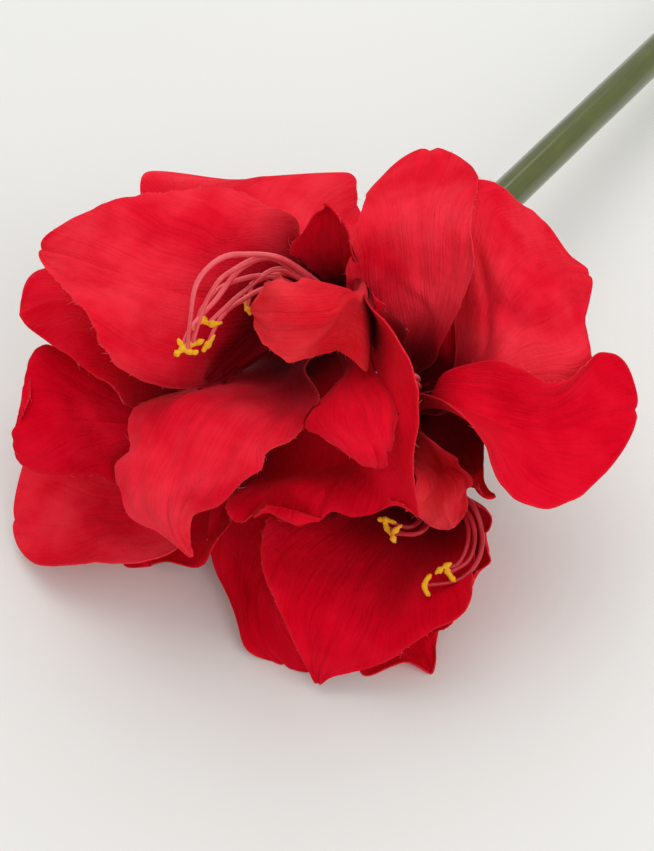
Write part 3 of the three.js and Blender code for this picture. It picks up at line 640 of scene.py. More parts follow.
# Each cloth goes from its deep to its lit colour with random drift and its satin streaks; a painted sheen of
# lighter pink lies over random patches of it.
CLOTH_KINDS = {
    "veined": dict(deep=(0.54, 0.0003, 0.008), lit=(0.88, 0.0020, 0.022), painted_sheen=(0.90, 0.014, 0.042),
                   most_painted_sheen=0.4),
    "paler": dict(deep=(0.62, 0.0016, 0.013), lit=(0.97, 0.0115, 0.037), painted_sheen=(0.98, 0.050, 0.078),
                  most_painted_sheen=0.6),
    "coarse": dict(deep=(0.70, 0.0020, 0.012), lit=(1.0, 0.0240, 0.044), painted_sheen=(1.0, 0.085, 0.098),
                   most_painted_sheen=0.5, weave_pitch=0.66, weave_depth=0.10, weave_shade=0.20, vein_depth=0.03,
                   vein_count=9.0),
}


def petal_cloth(kind, deep, lit, painted_sheen, most_painted_sheen, weave_pitch=0.55, weave_depth=0.04, weave_shade=0.10,
                vein_depth=0.11, vein_count=13.0):
    """Red satin-like cloth, woven, with faint pressed veins and a painted sheen, its throat darkened by
    painted shade, and a paler cut edge.
    """
    material, tree, shader, drift = finish_of(
        f"{kind} petal cloth", 38.0, Specular_IOR_Level=0.03, Specular_Tint=(1.0, 0.3, 0.36, 1),
        Sheen_Weight=0.09, Sheen_Roughness=0.4, Sheen_Tint=(1.0, 0.25, 0.3, 1),
    )
    cloth = put(tree, "ShaderNodeUVMap", {"uv_map": "cloth"}).outputs[0]
    fan = put(tree, "ShaderNodeUVMap", {"uv_map": "fan"}).outputs[0]
    weave = use_effect(tree, WEAVE, Vector=cloth, Pitch=weave_pitch)
    veins = use_effect(tree, VEINS, Vector=fan, Count=vein_count, Wander=0.22)
    rim = put(tree, "ShaderNodeAttribute", {"attribute_name": "rim"}).outputs["Fac"]
    # Tone: random drift, lightened along the satin streaks as a painted sheen, darker on the vein lines, and
    # darker in the weave's gaps as painted shade between the threads.
    tone = weighted(tree, (drift, 0.8), (veins["Streaks"], 0.6), (veins["Lines"], -0.12),
                    (weave["Gaps"], -weave_shade))
    colour = blend(tree, ramp(tree, tone, 0.25, 0.95), deep, lit)
    # A painted sheen: a lighter pink laid over random patches of drift.
    colour = blend(tree, ramp(tree, drift, 0.42, 0.7, 0.0, most_painted_sheen), colour, painted_sheen)
    along = put(tree, "ShaderNodeSeparateXYZ", i0=fan).outputs[0]
    # Painted shade: toward the claw the colour goes over into a near black red.
    throat_shade_mask = ramp(tree, along, PAINTED_THROAT_SHADE["from"], PAINTED_THROAT_SHADE["to"], 1.0, 0.0, "SMOOTHSTEP")
    colour = blend(tree, maths(tree, "MULTIPLY", throat_shade_mask, PAINTED_THROAT_SHADE["share"]), colour, PAINTED_THROAT_SHADE["colour"])
    colour = blend(tree, maths(tree, "MULTIPLY", rim, PALE_RIM["share"]), colour, PALE_RIM["colour"])
    height = weighted(tree, (weave["Height"], weave_depth), (noise(tree, cloth, 0.35, 5.0, 0.6), 0.55),
                      (veins["Lines"], -vein_depth), (veins["Streaks"], 0.6))
    join(tree, shader, colour, varied(tree, 0.52, veins["Streaks"], 0.25), height, Strength=1.0, Distance=MM)
    return material


def frayed_thread():
    material, tree, shader, drift = finish_of("frayed thread ends", 900.0, Roughness=0.8, Sheen_Weight=0.3)
    join(tree, shader, blend(tree, drift, (0.72, 0.03, 0.05), (0.85, 0.22, 0.22)))
    return material


def stem_plastic():
    """Soft green plastic with faint long marks from its mould."""
    material, tree, shader, drift = finish_of("green stem plastic", 60.0, Specular_IOR_Level=0.6,
                                              Coat_Weight=0.6, Coat_Roughness=0.12)
    place = put(tree, "ShaderNodeTexCoord").outputs["Object"]
    stretched = put(tree, "ShaderNodeMapping", Vector=place, Scale=(25.0, 420.0, 420.0)).outputs[0]
    marks = noise(tree, stretched, 1.0, 4.0)
    tone = ramp(tree, weighted(tree, (marks, 0.5), (drift, 0.5)), 0.3, 0.7)
    colour = blend(tree, tone, (0.045, 0.062, 0.002), (0.095, 0.110, 0.004))
    join(tree, shader, colour, varied(tree, 0.13, drift, 0.12), marks, Strength=0.5, Distance=0.15 * MM)
    return material


def filament_plastic(name, low, high, shine):
    """Clear-dipped red plastic, glossy, a little lighter in patches."""
    material, tree, shader, drift = finish_of(name, 180.0, Specular_IOR_Level=shine, Coat_Weight=shine * 0.6,
                                              Coat_Roughness=0.08)
    join(tree, shader, blend(tree, drift, low, high), varied(tree, 0.1, drift, 0.2))
    return material


def anther_dust():
    """Yellow anthers rolled in coarse dust."""
    material, tree, shader, drift = finish_of("yellow anther dust", 350.0, Roughness=0.75,
                                              Specular_IOR_Level=0.3)
    place = put(tree, "ShaderNodeTexCoord").outputs["Object"]
    grains = put(tree, "ShaderNodeTexVoronoi", Vector=place, Scale=2200.0).outputs["Distance"]
    join(tree, shader, blend(tree, drift, (0.90, 0.34, 0.004), (0.98, 0.60, 0.020)), None, grains,
         Strength=0.6, Distance=0.3 * MM)
    return material


def wire_steel():
    material, tree, shader, drift = finish_of("bare wire", 500.0, Metallic=1.0)
    colour = blend(tree, drift, (0.30, 0.29, 0.27), (0.55, 0.54, 0.52))
    join(tree, shader, colour, varied(tree, 0.25, drift, 0.3))
    return material


CLOTHS = {kind: petal_cloth(kind, **looks) for kind, looks in CLOTH_KINDS.items()}
THREAD, GREEN, DUST, WIRE = frayed_thread(), stem_plastic(), anther_dust(), wire_steel()
FILAMENT = filament_plastic("red filament plastic", (0.70, 0.020, 0.040), (0.92, 0.14, 0.16), 0.4)
# The front bloom's filaments: a darker, less shiny copy of the same plastic, painted shade for where they lie
# in shadow.
SHADED_FILAMENT = filament_plastic("filament plastic in painted shade", (0.34, 0.002, 0.011), (0.66, 0.030, 0.050), 0.2)


# ---- meshes ----

def ride(piece, node=None):
    """Lets a piece ride on the flower and stand for its CAD node."""
    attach(piece, "root")
    if node:
        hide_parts(node)


def piece_of(name, points, faces, materials, slot=None, node=None, uvs=None, rim=None, sharp=50):
    """A mesh piece from head-frame points. Values for its points may come with it: flat places and a rim."""
    mesh = bpy.data.meshes.new(name)
    mesh.from_pydata([tuple(p) for p in to_part(points)], [], [tuple(int(i) for i in f) for f in faces])
    for material in materials:
        mesh.materials.append(material)
    corners = np.zeros(len(mesh.loops), np.int32)
    mesh.loops.foreach_get("vertex_index", corners)
    for label, values in (uvs or {}).items():
        layer = mesh.uv_layers.new(name=label)
        layer.data.foreach_set("uv", np.asarray(values, np.float32)[corners].ravel())
    if rim is not None:
        mesh.attributes.new("rim", "FLOAT", "POINT").data.foreach_set("value", np.asarray(rim, np.float32))
    soften(mesh, sharp)
    mesh.validate()
    piece = bpy.data.objects.new(name, mesh)
    bpy.context.scene.collection.objects.link(piece)
    if slot:
        ride(piece, node)
    return piece


def soften(mesh, sharp=50):
    """Smooth shading, apart from edges sharper than an angle in degrees."""
    mesh.polygons.foreach_set("use_smooth", np.ones(len(mesh.polygons), bool))
    mesh.set_sharp_from_angle(angle=math.radians(sharp))


def evaluated_mesh(piece):
    """A piece's mesh as its modifiers leave it, which are then taken off."""
    graph = bpy.context.evaluated_depsgraph_get()
    mesh = bpy.data.meshes.new_from_object(piece.evaluated_get(graph), depsgraph=graph)
    piece.modifiers.clear()
    return mesh


def bezier(points, t):
    a, b, c, d = (np.asarray(p, float) for p in points)
    t = np.asarray(t)[:, None]
    return a * (1 - t) ** 3 + b * 3 * t * (1 - t) ** 2 + c * 3 * t * t * (1 - t) + d * t ** 3


def lengths_along(line):
    """How far along a polyline each of its points is."""
    steps = np.linalg.norm(np.diff(line, axis=0), axis=1)
    return np.concatenate([[0], np.cumsum(steps)])


def at_places(line, known, wanted):
    return np.stack([np.interp(wanted, known, line[:, k]) for k in range(3)], 1)


def evenly(line, count):
    """Points that lie evenly along a polyline, and its length."""
    known = lengths_along(line)
    return at_places(line, known, np.linspace(0, known[-1], count)), known[-1]


def turned_about(v, axis, angle):
    """v turned about a unit axis."""
    v, axis = np.asarray(v, float), np.asarray(axis, float)
    return (v * math.cos(angle) + np.cross(axis, v) * math.sin(angle)
            + axis * (v @ axis) * (1 - math.cos(angle)))


def carried(line, across):
    """The directions along a line, and the direction across it carried along without turning."""
    along = np.gradient(line, axis=0)
    along /= np.linalg.norm(along, axis=1, keepdims=True)
    sides = []
    for tangent in along:
        across = unit(across - tangent * (across @ tangent))
        sides.append(across)
    return along, np.array(sides)


def normals(grid):
    normal = np.cross(np.gradient(grid, axis=0), np.gradient(grid, axis=1))
    return normal / np.maximum(np.linalg.norm(normal, axis=2, keepdims=True), 1e-9)


def sheet_mesh(grid, thickness=CLOTH_THICKNESS):
    """Points and faces of a closed sheet round a grid. The cloth itself stays above the table."""
    rows, columns = grid.shape[:2]
    out = normals(grid) * thickness / 2
    points = np.concatenate([(grid + out).reshape(-1, 3), (grid - out).reshape(-1, 3)])
    if thickness <= CLOTH_THICKNESS:
        points[:, 2] = np.maximum(points[:, 2], LOWEST_POINT)
    at = np.arange(rows * columns).reshape(rows, columns)
    back = rows * columns
    a, b, c, d = at[:-1, :-1].ravel(), at[1:, :-1].ravel(), at[1:, 1:].ravel(), at[:-1, 1:].ravel()
    faces = [np.stack([a, b, c, d], 1), np.stack([a, d, c, b], 1) + back]
    walls = [(at[:-1, 0], at[1:, 0]), (at[1:, -1], at[:-1, -1]), (at[0, 1:], at[0, :-1]),
             (at[-1, :-1], at[-1, 1:])]
    faces += [np.stack([first, first + back, second + back, second], 1) for first, second in walls]
    return points, np.concatenate(faces)


def ring_of(centre, side, other, radius, sides):
    angles = [2 * math.pi * k / sides for k in range(sides)]
    return [centre + (side * math.cos(angle) + other * math.sin(angle)) * radius for angle in angles]


def tube_faces(rings, sides, base=0):
    """Faces of a closed tube of rings of points, the first of which has the number base."""
    faces = []
    for ring in range(rings - 1):
        for k in range(sides):
            a, b = base + ring * sides + k, base + ring * sides + (k + 1) % sides
            faces.append((a, b, b + sides, a + sides))
    last = base + (rings - 1) * sides
    return faces + [tuple(range(base + sides - 1, base - 1, -1)), tuple(range(last, last + sides))]


def lathe(profile, sides, place, direction):
    """Points and faces of a turned body. The profile's (radius, height) corners run from end to end."""
    direction = unit(direction)
    side = unit(np.cross(direction, (0.3, 0.2, 0.9)))
    other = np.cross(direction, side)
    points = []
    for radius, height in profile:
        points += ring_of(np.array(place, float) + direction * height, side, other, max(radius, 1e-4), sides)
    return points, tube_faces(len(profile), sides)


def tube(line, radii, sides):
    """Points and faces of a round tube along a line."""
    line = np.asarray(line, float)
    along, side = carried(line, unit(np.cross(line[1] - line[0], (0.31, 0.77, 0.55))))
    points = []
    for centre, first, other, radius in zip(line, side, np.cross(along, side), radii):
        points += ring_of(centre, first, other, radius, sides)
    return points, tube_faces(len(line), sides)


def rounded(profile, steps=8):
    """A profile made smooth by a curve through its corners."""
    p = np.array(profile, float)
    p = np.concatenate([[2 * p[0] - p[1]], p, [2 * p[-1] - p[-2]]])
    out = []
    for k in range(1, len(p) - 2):
        for t in np.linspace(0, 1, steps, endpoint=False):
            out.append(0.5 * (2 * p[k] + (p[k + 1] - p[k - 1]) * t
                              + (2 * p[k - 1] - 5 * p[k] + 4 * p[k + 1] - p[k + 2]) * t ** 2
                              + (3 * p[k] - p[k - 1] - 3 * p[k + 1] + p[k + 2]) * t ** 3))
    out.append(p[-2])
    return np.array(out)


def gather(parts):
    """Several (points, faces) as one."""
    points, faces = [], []
    for some, their in parts:
        base = len(points)
        points.extend(some)
        faces.extend(tuple(int(i) + base for i in f) for f in their)
    return points, faces


def axis_and_root(bloom):
    return unit(bloom["axis"]), np.array(bloom["root"], float)


# ---- a petal before it is bent ----

def crumple(seed, s, t, shortest, longest, waves):
    """Smooth unevenness over a cloth, from a few crossed waves. s and t are in millimetres."""
    rng = np.random.default_rng(seed)
    total = np.zeros(np.broadcast(s, t).shape)
    for _ in range(waves):
        length = rng.uniform(shortest, longest)
        heading = rng.uniform(0, math.pi)
        phase = rng.uniform(0, 2 * math.pi)
        wave = 2 * math.pi / length * (s * math.cos(heading) + t * math.sin(heading))
        total += np.sin(wave + phase) * length / longest
    return total / math.sqrt(waves)


def uneven(kind, seed, s, t):
    rule = UNEVEN[kind]
    waves = crumple(seed + rule["draw"], s, t, rule["shortest"], rule["longest"], rule["waves"])
    return rule["much"] * waves


def set_in(what, u):
    """Goes from 0 to 1 where something sets in along a petal."""
    start, length = SETS_IN[what]
    return smooth((u - start) / length)


def half_width(u, petal):
    """Half the width of a petal, from its narrow claw past its widest place to its tip."""
    wide = petal["wide"]
    claw = mix(CLAW_HALF_WIDTH, wide, smooth(u / WIDEST) ** 1.2)
    past = np.clip((u - WIDEST) / (1 - WIDEST), 0, 1)
    end = wide * np.maximum(0, 1 - past ** 2.2) ** petal["blunt"]
    return np.where(u < WIDEST, claw, np.maximum(TIP_HALF_WIDTH, end))


def rib_of(bloom, petal, ring):
    """The middle rib of a petal, through the tube and along the free blade, its directions and its length."""
    axis, root = axis_and_root(bloom)
    first = np.array(bloom["first"], float)
    radial = turned_about(unit(first - axis * (first @ axis)), axis, math.radians(petal["angle"]))
    start = root + radial * ring
    mouth = start + axis * TUBE_LENGTH + radial * MOUTH_SPREAD
    leaving = axis * math.cos(MOUTH_FLARE) + radial * math.sin(MOUTH_FLARE)
    t = np.linspace(0, 1, 200)
    inside = bezier([start, start + axis * TUBE_LENGTH * 0.4, mouth - leaving * TUBE_LENGTH * 0.35, mouth], t)
    mid, tip = np.array(petal["mid"], float), np.array(petal["tip"], float)
    handle = mouth + leaving * petal["spring"]
    blade = bezier([mouth, handle, (mid * 8 - mouth - handle * 3 - tip) / 3, tip], t)
    line, length = evenly(np.concatenate([inside, blade[1:]]), RIB_POINTS)
    return line, *carried(line, np.cross(axis, radial)), length


def turn_to_face(petal, along, across):
    """How far a blade turns about its rib, so that its face looks the right way."""
    if "faces" not in petal:
        return 0.0
    widest = round(WIDEST * (len(along) - 1))
    faces, side = np.array(petal["faces"], float), across[widest]
    return math.atan2(-faces @ side, faces @ np.cross(along[widest], side))


def plain_petal(name, spare=0.0):
    """The middle surface of a petal before it is bent, row by row from claw to tip, and its flat measures."""
    petal = PETALS[name]
    ring = RING[petal["whorl"]]
    line, along, across, length = rib_of(BLOOMS[name.split()[0]], petal, ring)
    to_widest = np.linspace(0, WIDEST, ROWS["claw"] + 1)
    to_tip = mix(WIDEST, 1, np.sin(np.linspace(0, math.pi / 2, ROWS["tip"] + 1)))
    rows = np.concatenate([to_widest, to_tip[1:]])
    crowded = CROWDING * math.pi / 2
    columns = np.sin(np.linspace(-crowded, crowded, COLUMNS + 1)) / math.sin(crowded)
    last = len(line) - 1
    at, tangent, side = (at_places(part, np.arange(last + 1), rows * last) for part in (line, along, across))
    tangent /= np.linalg.norm(tangent, axis=1, keepdims=True)
    turn = turn_to_face(petal, along, across) * set_in("turn", rows)[:, None]
    side = side * np.cos(turn) + np.cross(tangent, side) * np.sin(turn)
    inward = np.cross(tangent, side)
    half = half_width(rows, petal)
    cupped = set_in("cup", rows)
    cups = [mix(half / ring * 0.75, math.radians(cup), cupped)[:, None] for cup in petal["cup"]]

    # along and across each point, and how far the blade and its edges are free of the tube and the tip
    u, v = rows[:, None], columns[None, :]
    left = v < 0
    free, free_edge = set_in("uneven cloth", u), set_in("waved edge", u)
    off_tip = smooth((1 - u) / TIP_SHARE)
    seed = sum(ord(letter) * (k + 3) for k, letter in enumerate(name))
    ragged, nicks = (
        [uneven(kind, seed, u * length, place) for place in (0, DRAWS_APART["outline"])]
        for kind in ("ragged edge", "nicked edge")
    )
    ragged = np.where(left, *ragged) * free_edge
    nicks = np.where(left, *nicks) * set_in("nicked edge", u)
    reach_half = half[:, None] * (1 + ragged) + nicks * off_tip + spare
    cup = np.where(left, *cups)
    s, t = u * length + 0 * v, v * reach_half

    # the cupped blade with waves and ruffles at its edges, the pressed rib, and the unevenness of cloth
    reach = reach_half * np.sin(cup * v) / cup
    phase = 2 * math.pi * RUFFLES["along"] * u + np.where(left, 0.0, RUFFLES["sides_apart"])
    wave = petal["wave"] * np.sin(phase + math.radians(petal["angle"]))
    rise = reach_half * (1 - np.cos(cup * v)) / cup + wave * np.abs(v) ** 2.5 * free_edge * off_tip
    rise = rise - RIB["depth"] * np.exp(-(t / RIB["width"]) ** 2) * free
    ruffle = uneven("ruffled edge", seed, s, np.where(left, 0, DRAWS_APART["ruffles"]))
    rise = rise + np.abs(v) ** 4 * free * off_tip * ruffle
    rise = rise + free * uneven("crumpled", seed, s, t)
    pleats = np.sin(v * PLEATS["count"] + uneven("wandering pleats", seed, s, t))
    rise = rise + PLEATS["height"] * free * np.abs(v) ** 0.7 * pleats
    return dict(
        points=at[:, None] + side[:, None] * reach[..., None] + inward[:, None] * rise[..., None],
        rows=rows, columns=columns, half=half, length=length, s=s, t=t, u=u + 0 * v,
        fan=t / (petal["wide"] * mix(FAN_AT_CLAW, 1, u / WIDEST)),
        edge=np.minimum((1 - np.abs(v)) * reach_half, (1 - u) * length),
    )


# ---- bending it to where it shows in the picture ----

def camera_view():
    """Where the camera stands, and its right, up and back directions, in the head frame."""
    elevation = CAMERA["elevation"]
    back = np.array([0.0, -math.cos(elevation), math.sin(elevation)])
    right = np.array([1.0, 0.0, 0.0])
    return np.array(CAMERA["target"]) + back * CAMERA["distance"], right, np.cross(back, right), back


def seen_at(points):
    """The pixels where points show in the picture, and how far they are from the camera."""
    stand, right, up, back = camera_view()
    away = points - stand
    depth = -(away @ back)
    across = PICTURE["width"] / 2 + PICTURE["focal"] * (away @ right) / depth
    down = PICTURE["height"] / 2 - PICTURE["focal"] * (away @ up) / depth
    return np.stack([across, down, depth], -1)


def behind_pixel(across, down, depth):
    """The point that shows at a pixel, at a distance from the camera or where it would meet the table."""
    stand, right, up, back = camera_view()
    aside = (across - PICTURE["width"] / 2) * right - (down - PICTURE["height"] / 2) * up
    ray = aside / PICTURE["focal"] - back
    point = stand + ray * depth
    if point[2] < LOWEST_MARK:
        point = stand + ray * (LOWEST_MARK - stand[2]) / ray[2]
    return point


def grid_point(cloth, along, across):
    """A point of a cloth between its rows and columns."""
    rows, columns, grid = cloth["rows"], cloth["columns"], cloth["points"]
    row = np.interp(along, rows, np.arange(len(rows)))
    column = np.interp(across, columns, np.arange(len(columns)))
    i, j = min(int(row), len(rows) - 2), min(int(column), len(columns) - 2)
    near, far = (mix(grid[k, j], grid[k, j + 1], column - j) for k in (i, i + 1))
    return mix(near, far, row - i)


def stiffness(squared):
    return 0.5 * squared * np.log(np.maximum(squared, 1e-12))


def marks_of(name):
    """A petal's marks: how far along and across each one is, and what is known of where it shows."""
    seen = SEEN[name]
    for side, across in (("left", -1), ("right", 1)):
        for along, *shown in seen.get(side, ()):
            yield along, across, shown
    for along, across, *shown in seen.get("within", ()):
        yield along, across, shown


def bend_of(name, plain):
    """The smooth bend that brings each mark of a petal to where it shows and leaves the claw alone. It is
    given as the flat places of the marks, in lengths of the petal, and the weights of their moves."""
    places, moves = [], []
    for along, across, shown in marks_of(name):
        point = grid_point(plain, along, across)
        x, y, depth = seen_at(point)
        if len(shown) > 1:
            x, y = shown[:2]
        nearer = 0 if len(shown) == 2 else shown[-1]
        places.append((along, across * np.interp(along, plain["rows"], plain["half"] / plain["length"])))
        moves.append(behind_pixel(x, y, depth - nearer) - point)
    places = np.array(places + CLAW_MARKS)
    count = len(places)
    system, wanted = np.zeros((count + 3, count + 3)), np.zeros((count + 3, 3))
    system[:count, :count] = stiffness(((places[:, None] - places) ** 2).sum(-1)) + BEND_SLACK * np.eye(count)
    system[:count, count] = system[count, :count] = 1
    system[:count, count + 1:], system[count + 1:, :count] = places, places.T
    wanted[:len(moves)] = moves
    return places, np.linalg.solve(system, wanted)


def bent(cloth, places, weights):
    """A cloth's points, moved by a bend."""
    flat = np.stack([cloth["s"], cloth["t"]], -1) / cloth["length"]
    count = len(places)
    apart = ((flat[..., None, :] - places) ** 2).sum(-1)
    moved = stiffness(apart) @ weights[:count] + weights[count] + flat @ weights[count + 1:]
    return cloth["points"] + moved * set_in("bend", cloth["u"])[..., None]


def creases_of(name, plain, points):
    """A bent petal's creases: the flat places of their ends, their heights and their widths."""
    pixels, toward_camera = seen_at(points)[..., :2], normals(points) @ camera_view()[3]
    creases = []
    for *ends, height, width in CREASES.get(name, ()):
        places, ways = [], []
        for pixel in ends:
            apart = ((pixels - pixel) ** 2).sum(-1)
            i, j = np.unravel_index(apart.argmin(), apart.shape)
            along, across = plain["rows"][i] * plain["length"], plain["columns"][j] * plain["half"][i]
            places.append(np.array([along, across]))
            ways.append(np.sign(toward_camera[i, j]))
        creases.append((*places, height * ways[0], width))
    return creases


def crease_heights(creases, s, t):
    """How far each point of a cloth stands up in its creases, which are steeper on one of their sides."""
    total = np.zeros(s.shape)
    for start, end, height, width in creases:
        way = end - start
        reached = np.clip(((s - start[0]) * way[0] + (t - start[1]) * way[1]) / (way @ way), 0, 1)
        ds, dt = s - start[0] - reached * way[0], t - start[1] - reached * way[1]
        spread = np.where(ds * way[1] - dt * way[0] > 0, width, width * CREASE_EASE)
        swell = mix(CREASE_END, 1, np.sin(math.pi * reached))
        total += height * np.exp(-(ds ** 2 + dt ** 2) / spread ** 2) * swell
    return total


def lay_petal(name):
    """A petal as it lies, bent and creased, and a slightly wider one that cuts others back."""
    cloths = plain_petal(name), plain_petal(name, spare=GAP)
    if name in SEEN:
        bend = bend_of(name, cloths[0])
        points = [bent(cloth, *bend) for cloth in cloths]
        creases = creases_of(name, cloths[0], points[0])
        for cloth, grid in zip(cloths, points):
            heights = crease_heights(creases, cloth["s"], cloth["t"])
            cloth["points"] = grid + normals(grid) * heights[..., None]
    for cloth in cloths:
        cloth["points"][..., 2] = np.maximum(cloth["points"][..., 2], LOWEST_MIDDLE)
    return cloths


# ---- the petals ----

def islands_of(mesh):
    """The connected parts of a mesh that is being edited, as lists of points."""
    islands, seen = [], set()
    for vert in mesh.verts:
        if vert in seen:
            continue
        stack, island = [vert], []
        seen.add(vert)
        while stack:
            here = stack.pop()
            island.append(here)
            fresh = [edge.other_vert(here) for edge in here.link_edges if edge.other_vert(here) not in seen]
            seen.update(fresh)
            stack.extend(fresh)
        islands.append(island)
    return islands


def drop_scraps(mesh):
    """Deletes the small loose scraps that cutting leaves of a petal."""
    editing = bmesh.new()
    editing.from_mesh(mesh)
    enough = SCRAP_SHARE * len(editing.verts)
    scraps = [vert for island in islands_of(editing) if len(island) < enough for vert in island]
    bmesh.ops.delete(editing, geom=scraps, context="VERTS")
    editing.to_mesh(mesh)
    editing.free()


def frays(mesh, surface, seed):
    """Short loose thread ends where a petal's own edge is left, as points and faces in the part's frame."""
    rng = np.random.default_rng(seed)
    grid = to_part(surface["points"])
    tree = KDTree(len(mesh.vertices))
    for k, vert in enumerate(mesh.vertices):
        tree.insert(vert.co, k)
    tree.balance()
    rows, columns = grid.shape[:2]
    border = [(i, 0) for i in range(rows)] + [(rows - 1, j) for j in range(columns)]
    border += [(i, columns - 1) for i in range(rows - 1, -1, -1)]
    line = np.array([grid[b] for b in border])
    inner = np.array([grid[min(i, rows - 4), min(max(j, 3), columns - 4)] for i, j in border])
    at = lengths_along(line)
    points, faces = [], []
    for place in rng.uniform(0, at[-1], int(at[-1] / MM * THREADS["per_mm"])):
        k = min(int(np.searchsorted(at, place)), len(line) - 1)
        root = mix(line[k - 1], line[k], (place - at[k - 1]) / max(at[k] - at[k - 1], 1e-9))
        if surface["u"][border[k]] < THREADS["from"] or tree.find(Vector(root))[2] > THREADS["off_edge"] * MM:
            continue
        out = unit(root - inner[k])
        along = unit(line[k] - line[k - 1] + 1e-9)
        aside = unit(np.cross(out, along))
        length = rng.gamma(2.0, THREADS["length"] / 2) * MM
        sway = rng.normal(0, THREADS["sway"], 2) * (1, THREADS["lift"])
        radius = rng.uniform(*THREADS["radius"]) * MM
        faces += tube_faces(THREADS["rings"], THREADS["sides"], len(points))
        for reached in np.linspace(0, 1, THREADS["rings"]):
            centre = root - out * THREADS["rooted"] * MM + out * length * reached
            centre = centre + (along * sway[0] + aside * sway[1]) * length * reached ** 1.5
            thin = radius * (1 - THREADS["taper"] * reached)
            for corner, spot in enumerate(ring_of(centre, along, aside, thin, THREADS["sides"])):
                points.append((*spot[:2], max(spot[2], LOWEST_POINT * MM * (1 + corner))))
    return points, faces


def add_threads(piece, points, faces):
    """Adds thread ends to a petal's mesh, in its second material."""
    editing = bmesh.new()
    editing.from_mesh(piece.data)
    made = [editing.verts.new(p) for p in points]
    for face in faces:
        editing.faces.new([made[k] for k in face]).material_index = 1
    editing.to_mesh(piece.data)
    editing.free()
    soften(piece.data)


def sewn(name, surface):
    """A petal of cloth, with its flat places for the weave and the veins and its pale rim."""
    petal = PETALS[name]
    points, faces = sheet_mesh(surface["points"])
    across = np.linspace(-1, 1, COLUMNS + 1)[None, :]
    # How far the throat's painted shade reaches along this petal, from its left edge to its right; toward the
    # tip it goes back to even. It rides in the fan's first coordinate.
    dark = np.interp(across, (-1, 1), petal["dark"])
    dark = mix(dark, 1.0, set_in("even shade", surface["u"]))
    flat = {"cloth": (surface["s"], surface["t"]), "fan": (surface["u"] * dark, surface["fan"])}
    uvs = {label: np.tile(np.stack(pair, -1).reshape(-1, 2), (2, 1)) for label, pair in flat.items()}
    rim = np.tile(np.exp(-surface["edge"].reshape(-1) / PALE_RIM["width"]), 2)
    materials = [CLOTHS[petal["cloth"]], THREAD]
    bloom, leaf = name.split()
    piece = piece_of(f"{bloom}_{leaf}_cloth", points, faces, materials, uvs=uvs, rim=rim)
    return piece, points.min(0), points.max(0)


def sew_petals():
    """Every petal, cut back along those before it, with frayed edges."""
    cutters = []
    for name in PETALS:
        surface, wider = lay_petal(name)
        piece, low, high = sewn(name, surface)
        for cutter, cutter_low, cutter_high in cutters:
            if (low < cutter_high).all() and (cutter_low < high).all():
                cut = piece.modifiers.new("cut back", "BOOLEAN")
                cut.operation, cut.solver, cut.object = "DIFFERENCE", "MANIFOLD", cutter
        if piece.modifiers:
            bpy.context.view_layer.update()
            piece.data = evaluated_mesh(piece)
            drop_scraps(piece.data)
        add_threads(piece, *frays(piece.data, surface, len(cutters) + 40))
        bloom, leaf = name.split()
        ride(piece, f"{bloom}_petal_{leaf}")
        points, faces = sheet_mesh(wider["points"], CLOTH_THICKNESS + 2 * GAP)
        cutters.append((piece_of(f"cutter_{bloom}_{leaf}", points, faces, []), points.min(0), points.max(0)))
    for cutter, _, _ in cutters:
        bpy.data.meshes.remove(cutter.data)


# ---- the stem and the umbel ----

def grow_stem():
    """The stem's plastic tube and the wire in its cut end. Gives the way that the stem points."""
    top = np.array(STEM_TOP, float)
    foot = top + np.array([stem_run * math.cos(STEM_HEADING), stem_run * math.sin(STEM_HEADING), -stem_drop])
    up = unit(top - foot)
    cut = STEM_RADIUS["cut"]
    foot[2] = cut * stem_run / STEM_LENGTH
    bore = WIRE_RADIUS + GAP
    profile = [(bore, WIRE_LENGTH + GAP), (bore, 0.6), (bore + 0.5, 0.05), (cut - 0.5, 0.0), (cut - 0.1, 0.2),
               (cut, 0.8)]
    for share in np.linspace(0.01, 0.995, 70):
        bulge = 0.06 * math.sin(share * 41) * math.sin(share * 17)
        profile.append((mix(cut, STEM_RADIUS["top"], share) + bulge, STEM_LENGTH * share))
    profile.append((STEM_RADIUS["top"] - 0.2, STEM_LENGTH - 0.1))
    points, faces = lathe(profile, SIDES["stem"], foot, up)
    piece_of("stem_tube", points, faces, [GREEN], "stem_plastic", "stem", sharp=40)
    wire = [(WIRE_RADIUS - 0.25, 0.0), (WIRE_RADIUS, 0.25)]
    wire += [(WIRE_RADIUS, height) for height in np.linspace(1, WIRE_LENGTH - 0.3, 20)]
    wire.append((WIRE_RADIUS - 0.3, WIRE_LENGTH))
    points, faces = lathe(wire, SIDES["wire"], foot, up)
    piece_of("stem_core_wire", points, faces, [WIRE], "core_wire", "stem_wire")
    return up


